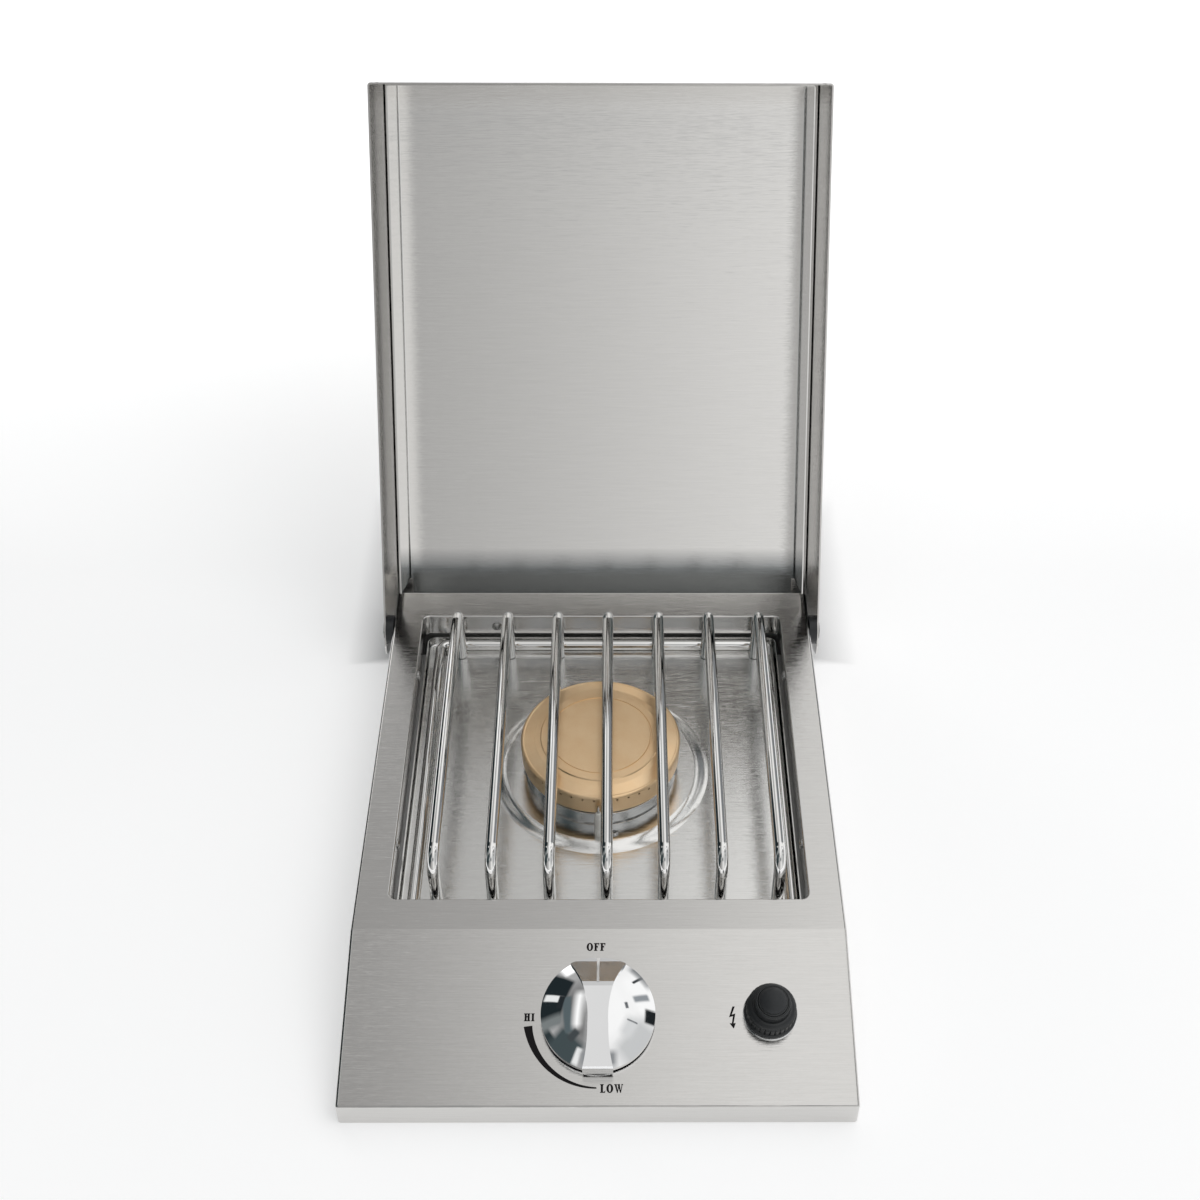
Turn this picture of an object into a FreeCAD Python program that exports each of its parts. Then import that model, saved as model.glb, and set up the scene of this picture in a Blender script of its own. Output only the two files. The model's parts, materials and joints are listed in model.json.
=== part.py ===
"""A built in gas side burner for an outdoor kitchen.

A folded steel frame drops into a cut-out in the counter. Its flat rear half holds a
drip pan, one round gas burner and a lift-off rod grate, and its sloping front half
holds the valve knob and the push button igniter. A lid hinged on the frame's sides
stands open behind the grate and swings over the whole unit.

All sizes are in millimetres. X is to the right, Y to the back and Z up. The origin is
on the counter, under the middle of the frame's front seat.
"""

import FreeCAD
import Part

import math
import os

from FreeCAD import Placement, Rotation, Vector

# Frame
FRAME_W = 317.5
FLAT_L = 318.5
PANEL_L = 112.25
PANEL_ANGLE = 15.67
FRAME_H = 48.0
SHEET = 1.2
BEND_IN_R = 1.0
SEAT_W = 18.0

# Well and drip pan
SIDE_STRIP = 22.25
FRONT_STRIP = 24.0
BACK_STRIP = 27.9
WELL_FLANGE = 17.6
WELL_R = 5.0
PAN_DEPTH = 28.5
PAN_WALL_H = 7.5
PAN_SIDE_GAP = 2.3
PAN_END_GAP = 0.8
PAN_T = 0.8
BOSS_RIM = 11.2
BOSS_SLOPE = 9.9
BOSS_H = 3.0

# Housing under the counter
HOUSING_T = 1.0
HOUSING_DEPTH = 78.0
CONTROL_DEPTH = 60.0
JOIN_GAP = 0.2
RAIL_W = 14.0
RAIL_T = 1.0

# Burner
BURNER_OFFSET = 3.4
CAP_R = 56.3
CAP_TAPER = 0.8
CAP_RISE = 7.8
CAP_DROP = 11.0
CAP_LAP = 5.0
CAP_WALL = 4.9
CAP_CLEARANCE = 0.4
PORT_COUNT = 44
PORT_R = 0.8
RING_TOP_DROP = 15.0
RING_T = 1.5
HEAD_NECK_SETBACK = 16.3
HEAD_WALL = 1.8
SPIGOT_FIT = 0.2
CLAMP_T = 1.5

# Grate
ROD_R = 4.0
BAR_COUNT = 7
BAR_INSET = 9.6
BAR_SHIFT = 4.9
BAR_TOP = 24.5
BAR_BEND_R = 13.0
RING_SHIFT = 2.2
RING_MARGIN = 6.1
RING_CORNER = 3.0
GRATE_CLEARANCE = 0.4
LEG_END_GAP = 0.5

# Mixer tube and valve
TUBE_R = 13.0
TUBE_WALL = 1.5
TUBE_BEND = 5.0
BELL_FLARE = 3.0
BELL_L = 20.0
TUBE_Z = -16.0
BRACKET_T = 1.5
KNOB_OFFSET = 0.875
KNOB_R = 35.4
KNOB_GAP = 3.2
KNOB_RISE = 20.0
STEM_R = 3.0
VALVE_R = 12.0
VALVE_WALL = 4.0
PLUG_R = 6.2
PIPE_R = 8.5
PIPE_DEPTH = 75.0
INLET_INSET = 45.9
INLET_R = 7.94
INLET_SHOULDER = 1.56

# Igniter
IGNITER_INSET = 51.95
IGNITER_OFFSET = -1.125
BARREL_R = 11.0
BARREL_WALL = 1.75
NUT_WALL = 5.4
BUTTON_TOP = 29.5
BATTERY_R = 7.1
BATTERY_L = 50.0
ELECTRODE_X = -1.0
ELECTRODE_GAP = 5.4

# Lid
LID_SIDE = 7.25
LID_LEAN = 30.0
LID_SKIN_B = 51.2
LID_EDGE_B = 30.4
LID_LIP_GAP = 37.98
LID_RAKE = 11.1
LID_REAR = 44.0
LID_SKIN_REAR = 23.0
LINER_GAP = 10.0
LINER_RISE = 9.0
LINER_REVEAL = 14.8
LINER_FRONT_GAP = 2.2
LINER_REAR = 14.0
LINER_T = 0.8
PIVOT_A = -24.5
PIVOT_B = 25.0
PIVOT_R = 4.0
BUSH_R = 10.5
STOP_GAP = 0.1

# General clearances
RUN_FIT = 0.05
TURN_GAP = 0.3

# The frame and well that follow from these
SLOPE = math.radians(PANEL_ANGLE)
PANEL_RUN = PANEL_L * math.cos(SLOPE)
PANEL_DROP = PANEL_L * math.sin(SLOPE)
LIP_Y = -SEAT_W / 2
FOLD_Y = LIP_Y + PANEL_RUN
REAR_Y = FOLD_Y + FLAT_L
LIP_TOP = FRAME_H - PANEL_DROP
BEND_R = SHEET + BEND_IN_R
WELL_W = FRAME_W - 2 * SIDE_STRIP
WELL_L = FLAT_L - FRONT_STRIP - BACK_STRIP
WELL_Y1 = REAR_Y - BACK_STRIP
WELL_Y0 = WELL_Y1 - WELL_L
WELL_Y = (WELL_Y0 + WELL_Y1) / 2
BURNER_Y = WELL_Y + BURNER_OFFSET
PAN_Z = FRAME_H - PAN_DEPTH
BOSS_Z = PAN_Z + BOSS_H
HOUSING_X = WELL_W / 2 + SHEET + JOIN_GAP
HOUSING_Y1 = WELL_Y1 + SHEET + JOIN_GAP
HOUSING_Y0 = LIP_Y + SEAT_W + 3.0
SHIELD_Y = WELL_Y0 - SHEET - JOIN_GAP - HOUSING_T

# The burner, tube and grate that follow
CAP_FOOT_R = CAP_R - CAP_TAPER
BOSS_R = CAP_R + BOSS_RIM
BOSS_FOOT_R = BOSS_R + BOSS_SLOPE
BOSS_HOLE_R = CAP_R - HEAD_NECK_SETBACK
TUBE_BORE_R = TUBE_R - TUBE_WALL
TUBE_BEND_R = TUBE_R + TUBE_BEND
BELL_R = TUBE_R + BELL_FLARE
SPIGOT_R = TUBE_BORE_R - SPIGOT_FIT
HEAD_THROAT_R = SPIGOT_R - HEAD_WALL
ELECTRODE_REACH = CAP_R + ELECTRODE_GAP
RING_OUTER_W = WELL_W - 2 * RING_MARGIN
RING_CORNER_R = ROD_R + RING_CORNER
BAR_PITCH = (RING_OUTER_W - 4 * ROD_R - 2 * BAR_INSET) / (BAR_COUNT - 1)

# The controls that follow
KNOB_U = PANEL_L / 2 + KNOB_OFFSET
CHAMBER_R = VALVE_R - VALVE_WALL
INLET_X = INLET_INSET - HOUSING_X
INLET_NECK_R = INLET_R + INLET_SHOULDER
IGNITER_X = FRAME_W / 2 - IGNITER_INSET
IGNITER_U = PANEL_L / 2 + IGNITER_OFFSET
NUT_R = BARREL_R + NUT_WALL
BUTTON_R = BARREL_R - BARREL_WALL

# The lid that follows
LID_W = FRAME_W + 2 * LID_SIDE
LID_FRONT_SKIN = REAR_Y - LIP_Y - LID_LIP_GAP
LID_FRONT_EDGE = LID_FRONT_SKIN - LID_RAKE
LINER_W = LID_W - 2 * SHEET - 2 * LINER_GAP
LINER_B = LID_SKIN_B - LINER_RISE
LINER_EDGE_B = LID_EDGE_B - LINER_REVEAL


def box(x0, x1, y0, y1, z0, z1):
    """Return a block between two corners."""
    return Part.makeBox(x1 - x0, y1 - y0, z1 - z0, Vector(x0, y0, z0))


def rod(start, end, radius):
    """Return a round rod between two points."""
    start = Vector(*start)
    run = Vector(*end).sub(start)
    return Part.makeCylinder(radius, run.Length, start, run)


def tube(start, end, radius, bore):
    """Return a round tube between two points."""
    return rod(start, end, radius).cut(rod(start, end, bore))


def prism_x(points, x0, x1):
    """Return a block whose outline in Y and Z runs from x0 to x1."""
    corners = [Vector(x0, y, z) for y, z in points]
    face = Part.Face(Part.makePolygon(corners + corners[:1]))
    return face.extrude(Vector(x1 - x0, 0, 0))


def prism_z(points, z0, z1):
    """Return a block whose outline in X and Y runs from z0 to z1."""
    corners = [Vector(x, y, z0) for x, y in points]
    face = Part.Face(Part.makePolygon(corners + corners[:1]))
    return face.extrude(Vector(0, 0, z1 - z0))


def hexagon(across, z0, z1):
    """Return a six sided block about the Z axis."""
    reach = across / math.sqrt(3)
    turns = [math.radians(60 * i) for i in range(6)]
    return prism_z([(reach * math.cos(t), reach * math.sin(t)) for t in turns], z0, z1)


def spun(start, *steps):
    """Return the solid swept by a closed outline of radius and height about the Z axis.

    A step of two numbers is a line to that point. A step of four numbers is an arc
    through the first point to the second.
    """
    edges = []
    here = Vector(start[0], 0, start[1])
    for step in list(steps) + [start]:
        there = Vector(step[-2], 0, step[-1])
        if here.distanceToPoint(there) < 1e-6:
            continue
        if len(step) == 4:
            edges.append(Part.Arc(here, Vector(step[0], 0, step[1]), there).toShape())
        else:
            edges.append(Part.makeLine(here, there))
        here = there
    face = Part.Face(Part.Wire(edges))
    return face.revolve(Vector(0, 0, 0), Vector(0, 0, 1), 360)


def dome(radius, low, high):
    """Return the outline step of a round cap from a rim at one height to its crown."""
    rise = high - low
    ball = (radius * radius + rise * rise) / (2 * rise)
    half = math.asin(radius / ball) / 2
    return ball * math.sin(half), high - ball + ball * math.cos(half), 0, high


def swept(path, radius):
    """Return a round rod that follows a smooth path of edges."""
    wire = Part.Wire(path)
    first = path[0]
    start = first.valueAt(first.FirstParameter)
    heading = first.tangentAt(first.FirstParameter)
    ring = Part.Wire([Part.makeCircle(radius, start, heading)])
    return wire.makePipeShell([ring], True, False)


def arc(start, middle, end):
    """Return an arc edge through three points."""
    return Part.Arc(Vector(*start), Vector(*middle), Vector(*end)).toShape()


def line(start, end):
    """Return a straight edge between two points."""
    return Part.makeLine(Vector(*start), Vector(*end))


def moved(shape, x=0.0, y=0.0, z=0.0):
    """Return a copy of the shape shifted."""
    shape = shape.copy()
    shape.translate(Vector(x, y, z))
    return shape


def aimed(shape, point, heading):
    """Return the shape with its Z axis turned to a heading and its origin at a point."""
    shape = shape.copy()
    turn = Rotation(Vector(0, 0, 1), Vector(*heading))
    shape.Placement = Placement(Vector(*point), turn)
    return shape


def on_panel(shape, x, u):
    """Return the shape stood on the sloping panel, u down from the fold.

    The shape's Z axis becomes the panel's outward normal and its Y axis points up the slope.
    """
    shape = shape.copy()
    foot = Vector(x, FOLD_Y - u * math.cos(SLOPE), FRAME_H - u * math.sin(SLOPE))
    shape.Placement = Placement(foot, Rotation(Vector(1, 0, 0), PANEL_ANGLE))
    return shape


def on_lid(shape):
    """Return the shape moved from the lid's own flat position to the open position.

    In the lid's own position Y runs from the hinge to the lid's front edge and Z is
    the depth, with the outer skin lowest.
    """
    shape = shape.copy()
    foot = Vector(0, REAR_Y, FRAME_H)
    shape.Placement = Placement(foot, Rotation(Vector(1, 0, 0), 90 - LID_LEAN))
    return shape


def edges_where(shape, test):
    """Return the edges whose middle point and direction pass a test."""
    found = []
    for edge in shape.Edges:
        middle = edge.valueAt((edge.FirstParameter + edge.LastParameter) / 2)
        if test(middle, edge):
            found.append(edge)
    return found


def runs_along(edge, axis):
    """Tell whether an edge is straight and lies along an axis."""
    ends = edge.Vertexes
    if len(ends) < 2:
        return False
    run = ends[1].Point.sub(ends[0].Point)
    return run.Length > 1.0 and abs(run.dot(axis)) > 0.99 * run.Length


def rounded_block(x0, x1, y0, y1, z0, z1, corner, bottom=0.0):
    """Return a block with rounded upright corners and a rounded bottom edge."""
    block = box(x0, x1, y0, y1, z0, z1)
    height = z1 - z0
    upright = edges_where(block, lambda m, e: abs(m.z - (z0 + z1) / 2) < height / 4)
    block = block.makeFillet(corner, upright)
    if bottom > 0:
        foot = edges_where(block, lambda m, e: abs(m.z - z0) < 1e-6)
        block = block.makeFillet(bottom, foot)
    return block


def pan_head_screw(head_r, head_h, shank_r, length):
    """Return a domed screw with its head above zero and its shank below."""
    head = spun((0, 0), (head_r, 0), (head_r, head_h * 0.3), dome(head_r, head_h * 0.3, head_h))
    shank = rod((0, 0, -length), (0, 0, 0), shank_r)
    socket = hexagon(head_r * 0.9, head_h * 0.35, head_h * 1.1)
    return head.fuse(shank).cut(socket)


def fused(shapes):
    """Return one shape joined from several."""
    whole = shapes[0]
    for shape in shapes[1:]:
        whole = whole.fuse(shape)
    return whole


def side_by_side(shapes):
    """Return separate solids as one compound."""
    return Part.makeCompound(shapes)


# The frame

def frame_outline(inset):
    """Return the side outline of the frame, drawn in by the inset."""
    half = SLOPE / 2
    fold = Vector(0, FOLD_Y - inset * math.tan(half), FRAME_H - inset)
    lip_in = math.radians(90) - SLOPE
    knee = Vector(0, LIP_Y + inset, LIP_TOP - inset * math.tan(lip_in / 2))
    return [
        (REAR_Y - inset, 0.0),
        (REAR_Y - inset, FRAME_H - inset),
        (fold.y, fold.z),
        (knee.y, knee.z),
        (LIP_Y + inset, 0.0),
    ]


def folded_block(inset, radius):
    """Return the frame's solid outline with every folded edge rounded."""
    half = FRAME_W / 2 - inset
    block = prism_x(frame_outline(inset), -half, half)
    folds = edges_where(block, lambda m, e: m.z > 1e-3)
    return block.makeFillet(radius, folds)


def top_frame():
    """Return the folded frame with its well, seat flanges and control holes."""
    inner = folded_block(SHEET, BEND_R - SHEET)
    shell = folded_block(0.0, BEND_R).cut(inner)
    seat = seat_flange()
    shell = shell.fuse(seat)
    shell = shell.cut(well_block(0.0, FRAME_H - SHEET - 2.0, FRAME_H + 2.0))
    flange = well_block(SHEET, FRAME_H - WELL_FLANGE, FRAME_H)
    flange = flange.cut(well_block(0.0, 0.0, FRAME_H + 1.0))
    shell = shell.fuse(flange).removeSplitter()
    mouth = edges_where(shell, is_well_mouth)
    shell = shell.makeFillet(SHEET * 0.8, mouth)
    for hole in frame_holes():
        shell = shell.cut(hole)
    return shell


def is_well_mouth(middle, edge):
    """Tell whether an edge lies on the rim of the well opening."""
    inside_x = abs(middle.x) < WELL_W / 2 + 0.1
    inside_y = WELL_Y0 - 0.1 < middle.y < WELL_Y1 + 0.1
    return inside_x and inside_y and abs(middle.z - FRAME_H) < 1e-4


def well_block(grow, z0, z1):
    """Return the well opening as a solid, made larger all round."""
    half = WELL_W / 2 + grow
    return rounded_block(-half, half, WELL_Y0 - grow, WELL_Y1 + grow, z0, z1, WELL_R + grow)


def seat_flange():
    """Return the inward flange that rests on the counter."""
    half = FRAME_W / 2 - SHEET / 2
    outer = box(-half, half, LIP_Y + SHEET / 2, REAR_Y - SHEET / 2, 0, SHEET)
    inner_x = FRAME_W / 2 - SEAT_W
    inner = rounded_block(
        -inner_x, inner_x, LIP_Y + SEAT_W, REAR_Y - SEAT_W, -1, SHEET + 1, 3.0
    )
    return outer.cut(inner)


def frame_holes():
    """Return the cutters for the controls, the housing screws and the lid pivots."""
    holes = [
        on_panel(rod((0, 0, -10), (0, 0, 10), 5.0), 0, KNOB_U),
        on_panel(rod((0, 0, -10), (0, 0, 10), BARREL_R + 0.4), IGNITER_X, IGNITER_U),
    ]
    for side in (-1, 1):
        holes.append(on_panel(rod((side * 15, 0, -10), (side * 15, 0, 10), 2.2), 0, KNOB_U))
    for point, heading in housing_screw_places():
        holes.append(aimed(rod((0, 0, -SHEET - 1), (0, 0, 3), 2.2), point, heading))
    y, z = pivot_point()
    for side in (-1, 1):
        reach = side * FRAME_W / 2
        holes.append(rod((reach - 6, y, z), (reach + 6, y, z), PIVOT_R + RUN_FIT))
    return holes


def housing_screw_places():
    """Return each housing screw's point on the well wall and the way its head faces."""
    z = FRAME_H - 10.5
    rear = [((side * 80.8, WELL_Y1, z), (0, -1, 0)) for side in (-1, 1)]
    sides = []
    for side in (-1, 1):
        for share in (0.2, 0.8):
            y = WELL_Y1 - WELL_L * share
            sides.append(((side * WELL_W / 2, y, z), (-side, 0, 0)))
    return rear + sides


def pivot_point():
    """Return the lid pivot's Y and Z."""
    lean = math.radians(LID_LEAN)
    y = REAR_Y + PIVOT_A * math.sin(lean) - PIVOT_B * math.cos(lean)
    z = FRAME_H + PIVOT_A * math.cos(lean) + PIVOT_B * math.sin(lean)
    return y, z


# The housing under the counter

def housing_outline(inset):
    """Return the side outline of the housing, drawn in by the inset."""
    step_y = SHIELD_Y - 6.0
    top = FRAME_H - SHEET - 1.0
    front_top = LIP_TOP - 4.0
    fold_y = FOLD_Y + 2.0
    return [
        (HOUSING_Y1 + HOUSING_T - inset, -HOUSING_DEPTH + inset),
        (HOUSING_Y1 + HOUSING_T - inset, top),
        (fold_y, top),
        (HOUSING_Y0 - HOUSING_T + inset, front_top),
        (HOUSING_Y0 - HOUSING_T + inset, -CONTROL_DEPTH + inset),
        (step_y + inset, -CONTROL_DEPTH + inset),
        (step_y + inset, -HOUSING_DEPTH + inset),
    ]


def housing():
    """Return the open topped box that hangs through the counter."""
    half = HOUSING_X + HOUSING_T
    outer = prism_x(housing_outline(0.0), -half, half)
    outer = outer.makeFillet(3.0, edges_where(outer, is_housing_corner))
    inner = prism_x(housing_inside(), -HOUSING_X, HOUSING_X)
    inner = inner.makeFillet(2.0, edges_where(inner, is_housing_corner))
    shell = outer.cut(inner)
    for hole in housing_holes():
        shell = shell.cut(hole)
    return shell


def housing_inside():
    """Return the side outline of the housing's hollow, open upwards."""
    walls = housing_outline(HOUSING_T)
    lifted = [(y, FRAME_H + 5.0) if z > 0 else (y, z) for y, z in walls]
    return lifted


def is_housing_corner(middle, edge):
    """Tell whether an edge is one of the housing's lower or upright corners."""
    low = middle.z < -10 and abs(middle.x) > HOUSING_X / 2
    return low and runs_along(edge, Vector(0, 1, 0)) and middle.y > SHIELD_Y


def housing_holes():
    """Return the cutters for the housing's vents, inlet and screws."""
    holes = []
    for column in range(-3, 4):
        for row in range(3):
            x = column * HOUSING_X / 4.2
            y = WELL_Y0 + WELL_L * (0.3 + 0.2 * row)
            holes.append(vent_slot(x, y, -HOUSING_DEPTH, 26.0, 5.0))
    for column in (-1, 0, 1, 2):
        x = column * HOUSING_X / 3.2 + 8.0
        holes.append(vent_slot(x, (HOUSING_Y0 + SHIELD_Y) / 2 - 22.0, -CONTROL_DEPTH, 30.0, 5.0))
    _, y, _ = pipe_axis()
    low = -CONTROL_DEPTH - 3
    holes.append(rod((INLET_X, y, low), (INLET_X, y, low + 6), INLET_NECK_R + TURN_GAP))
    for point, heading in housing_screw_places():
        holes.append(aimed(rod((0, 0, -8), (0, 0, 3), 1.8), point, heading))
    y = BURNER_Y - 60
    holes.append(rod((0, y, -HOUSING_DEPTH - 1), (0, y, -HOUSING_DEPTH + 3), 2.1))
    return holes


def vent_slot(x, y, z, length, width):
    """Return a cutter for one round ended slot in a floor."""
    r = width / 2
    half = length / 2 - r
    bar = box(x - half, x + half, y - r, y + r, z - 2, z + 3)
    ends = [rod((x + s * half, y, z - 2), (x + s * half, y, z + 3), r) for s in (-1, 1)]
    return fused([bar] + ends)


def heat_shield():
    """Return the upright sheet between the burner box and the control space."""
    half = HOUSING_X - 0.5
    floor = -CONTROL_DEPTH + HOUSING_T
    back = SHIELD_Y + HOUSING_T
    wall = box(-half, half, SHIELD_Y, back, floor + 1.0, FRAME_H - SHEET - 1.5)
    foot = box(-half, half, SHIELD_Y - 5.0, back, floor, floor + 1.0)
    sides = []
    for side in (-1, 1):
        x0 = side * half - (HOUSING_T if side > 0 else 0)
        sides.append(box(x0, x0 + HOUSING_T, SHIELD_Y - 12, SHIELD_Y, -40, 30))
    shield = fused([wall, foot] + sides)
    passage = rod((0, SHIELD_Y - 5, TUBE_Z), (0, SHIELD_Y + 5, TUBE_Z), TUBE_R + 1.0)
    return shield.cut(passage)


def housing_screws():
    """Return the six screws that hold the housing to the well wall."""
    screw = pan_head_screw(3.6, 1.8, 1.7, 6.5)
    return side_by_side([aimed(screw, p, h) for p, h in housing_screw_places()])


def pan_rails():
    """Return the two angle rails that carry the drip pan."""
    rails = []
    top = PAN_Z - PAN_T
    y0 = WELL_Y0 + 12
    y1 = WELL_Y1 - 12
    for side in (-1, 1):
        wall = HOUSING_X * side
        web = wall - side * RAIL_T
        inner = wall - side * RAIL_W
        leg = box(min(wall, web), max(wall, web), y0, y1, top - 12, top)
        shelf = box(min(wall, inner), max(wall, inner), y0, y1, top - RAIL_T, top)
        rails.append(leg.fuse(shelf).removeSplitter())
    return side_by_side(rails)


def drip_pan():
    """Return the shallow pan with its pressed boss around the burner."""
    half = WELL_W / 2 - PAN_SIDE_GAP
    y0 = WELL_Y0 + PAN_END_GAP
    y1 = WELL_Y1 - PAN_END_GAP
    z0 = PAN_Z - PAN_T
    z1 = PAN_Z + PAN_WALL_H
    t = PAN_T
    outer = rounded_block(-half, half, y0, y1, z0, z1, 6.0, 2.4)
    inner = rounded_block(-half + t, half - t, y0 + t, y1 - t, PAN_Z, z1 + 5, 6.0 - t, 2.4 - t)
    tray = outer.cut(inner)
    tray = tray.cut(rod((0, BURNER_Y, z0 - 1), (0, BURNER_Y, z1), BOSS_FOOT_R + 2.0))
    pan = tray.fuse(moved(boss(), 0, BURNER_Y, PAN_Z))
    for x, y in clamp_points():
        pan = pan.cut(rod((x, BURNER_Y + y, z0), (x, BURNER_Y + y, BOSS_Z + 1), 1.7))
    post = (ELECTRODE_X, BURNER_Y - ELECTRODE_REACH)
    pan = pan.cut(rod((*post, z0 - 2), (*post, BOSS_Z + 2), 3.3))
    return pan.cut(rod((post[0] + 11, post[1], z0 - 2), (post[0] + 11, post[1], BOSS_Z + 2), 1.6))


def boss():
    """Return the pressed ring that rises in an S bend to the burner seat."""
    mid = (BOSS_R + BOSS_FOOT_R) / 2
    q = (BOSS_FOOT_R - BOSS_R) / 4
    h = BOSS_H
    t = PAN_T
    outer = BOSS_FOOT_R + 2.0
    return spun(
        (BOSS_HOLE_R, h),
        (BOSS_R, h),
        (BOSS_R + q, h * 0.86, mid, h * 0.5),
        (mid + q, h * 0.14, BOSS_FOOT_R, 0.0),
        (outer, 0.0),
        (outer, -t),
        (BOSS_FOOT_R, -t),
        (mid + q, h * 0.14 - t, mid, h * 0.5 - t),
        (BOSS_R + q, h * 0.86 - t, BOSS_R, h - t),
        (BOSS_HOLE_R, h - t),
    )


# The burner, with heights from the flat top of the frame

def burner_place(shape):
    """Return a burner piece stood at the burner's centre."""
    return moved(shape, 0, BURNER_Y, FRAME_H)


def burner_head():
    """Return the cast bowl that feeds the cap through a neck."""
    seat = BOSS_Z - FRAME_H
    neck = CAP_FOOT_R - CAP_WALL + 0.8 - CAP_CLEARANCE
    flange = CAP_FOOT_R - RING_T - 0.7 - 1.5
    lap = -CAP_DROP + CAP_LAP
    throat = seat - 13.5
    head = spun(
        (neck, lap),
        (neck, seat + 9.0),
        (flange, seat + 8.0),
        (flange, seat + 0.1),
        (BOSS_HOLE_R - 2.0, seat + 0.1),
        (BOSS_HOLE_R - 2.5, seat - 1.5),
        (BOSS_HOLE_R / 2, throat + 4.0, SPIGOT_R, throat),
        (SPIGOT_R, throat - 6.5),
        (HEAD_THROAT_R, throat - 6.5),
        (HEAD_THROAT_R, throat + 2.0),
        (BOSS_HOLE_R / 2 - 2.0, throat + 7.5, BOSS_HOLE_R - 5.0, seat + 1.6),
        (neck - 5.0, seat + 3.5),
        (neck - 5.0, lap),
    )
    for side in (-1, 1):
        near = side * (CAP_FOOT_R - 11.5)
        head = head.cut(rod((near, 0, seat + 6.2), (near + side * 12, 0, seat + 6.2), 1.55))
    for point in clamp_points():
        head = head.cut(rod((*point, seat - 1), (*point, seat + 7), 1.55))
    return burner_place(head)


def clamp_points():
    """Return the clamp screws' places about the burner's centre."""
    turns = [math.radians(90 + 120 * i) for i in range(3)]
    reach = BOSS_HOLE_R + 6.0
    return [(reach * math.cos(t), reach * math.sin(t)) for t in turns]


def burner_ring():
    """Return the bright band around the foot of the burner."""
    seat = BOSS_Z - FRAME_H
    outer = CAP_FOOT_R - 2.0
    top = -RING_TOP_DROP
    band = spun(
        (outer - RING_T, seat + 0.1),
        (outer + 0.6, seat + 0.1),
        (outer, seat + 1.4),
        (outer, top - 0.6),
        (outer - 0.2, top - 0.2, outer - 0.6, top),
        (outer - RING_T, top),
    )
    for side in (-1, 1):
        near = side * (CAP_FOOT_R - 5.5)
        band = band.cut(rod((near, 0, seat + 6.2), (near + side * 6, 0, seat + 6.2), 1.6))
    return burner_place(band)


def ring_screws():
    """Return the two side screws that hold the band on the burner head."""
    seat = BOSS_Z - FRAME_H
    screw = pan_head_screw(2.6, 2.2, 1.5, 8.0)
    reach = CAP_FOOT_R - 2.0
    screws = [aimed(screw, (s * reach, 0, seat + 6.2), (s, 0, 0)) for s in (-1, 1)]
    return burner_place(side_by_side(screws))


def burner_cap():
    """Return the turned cap with its stepped face and ring of flame ports."""
    foot = -CAP_DROP
    inner = CAP_FOOT_R - CAP_WALL + 0.8
    shoulder = foot + CAP_LAP
    rise = CAP_RISE
    chamber = inner - 2.4
    cap = spun(
        (0, rise),
        (CAP_R - 21.2, rise),
        (CAP_R - 20.9, rise - 0.5),
        (CAP_R - 20.0, rise - 0.5),
        (CAP_R - 19.7, rise),
        (CAP_R - 14.5, rise - 0.1),
        (CAP_R - 13.8, rise - 0.9),
        (CAP_R - 10.3, rise - 1.2),
        (CAP_R - 2.4, rise - 2.7),
        (CAP_R - 0.5, rise - 3.1, CAP_R, rise - 4.1),
        (CAP_FOOT_R + 0.3, foot + 0.6),
        (CAP_FOOT_R - 0.3, foot),
        (inner, foot),
        (inner, shoulder),
        (chamber, shoulder),
        (chamber, rise - 6.6),
        (chamber - 3.0, rise - 4.8),
        (0, rise - 4.8),
    )
    ports = []
    for i in range(PORT_COUNT):
        turn = math.radians(360.0 * (i + 0.5) / PORT_COUNT)
        reach = (math.cos(turn), math.sin(turn))
        z = rise - 6.3
        near = (reach[0] * (chamber - 4), reach[1] * (chamber - 4), z - 0.6)
        far = (reach[0] * (CAP_R + 2), reach[1] * (CAP_R + 2), z + 0.6)
        ports.append(rod(near, far, PORT_R))
    return burner_place(cap.cut(side_by_side(ports)))


def clamp_ring():
    """Return the plate under the pan that the burner head is screwed to."""
    top = BOSS_Z - PAN_T
    low = (0, BURNER_Y, top - CLAMP_T)
    plate = tube(low, (0, BURNER_Y, top), BOSS_HOLE_R + 12, BOSS_HOLE_R)
    for x, y in clamp_points():
        plate = plate.cut(rod((x, BURNER_Y + y, PAN_Z - 5), (x, BURNER_Y + y, PAN_Z + 5), 1.7))
    return plate


def clamp_screws():
    """Return the three screws that clamp the burner head to the pan."""
    screw = pan_head_screw(3.2, 2.0, 1.5, 8.0)
    z = BOSS_Z - PAN_T - CLAMP_T
    places = [(x, BURNER_Y + y, z) for x, y in clamp_points()]
    return side_by_side([aimed(screw, place, (0, 0, -1)) for place in places])


# The mixer tube, from the valve's orifice to the burner head

def mixer_tube():
    """Return the venturi tube with its bell, air windows and elbow."""
    z = TUBE_Z
    front = SHIELD_Y - 10.0 - BELL_L
    bend_y = BURNER_Y - TUBE_BEND_R
    top = z + TUBE_BEND_R
    end = BOSS_Z - 14.0
    outer = tube_run(front + BELL_L + 6, bend_y, z, top, end, TUBE_R)
    inner = tube_run(front + BELL_L + 5, bend_y, z, top, end + 1, TUBE_BORE_R)
    body = outer.fuse(bell(front, 0.0))
    body = body.cut(inner).cut(bell(front, 1.5))
    body = body.cut(rod((0, front - 1, z), (0, front + 3, z), 6.05))
    body = body.cut(air_window(front))
    return body.cut(rod((0, front + BELL_L / 2, z), (0, front + BELL_L / 2, z + 20), 1.5))


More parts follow.
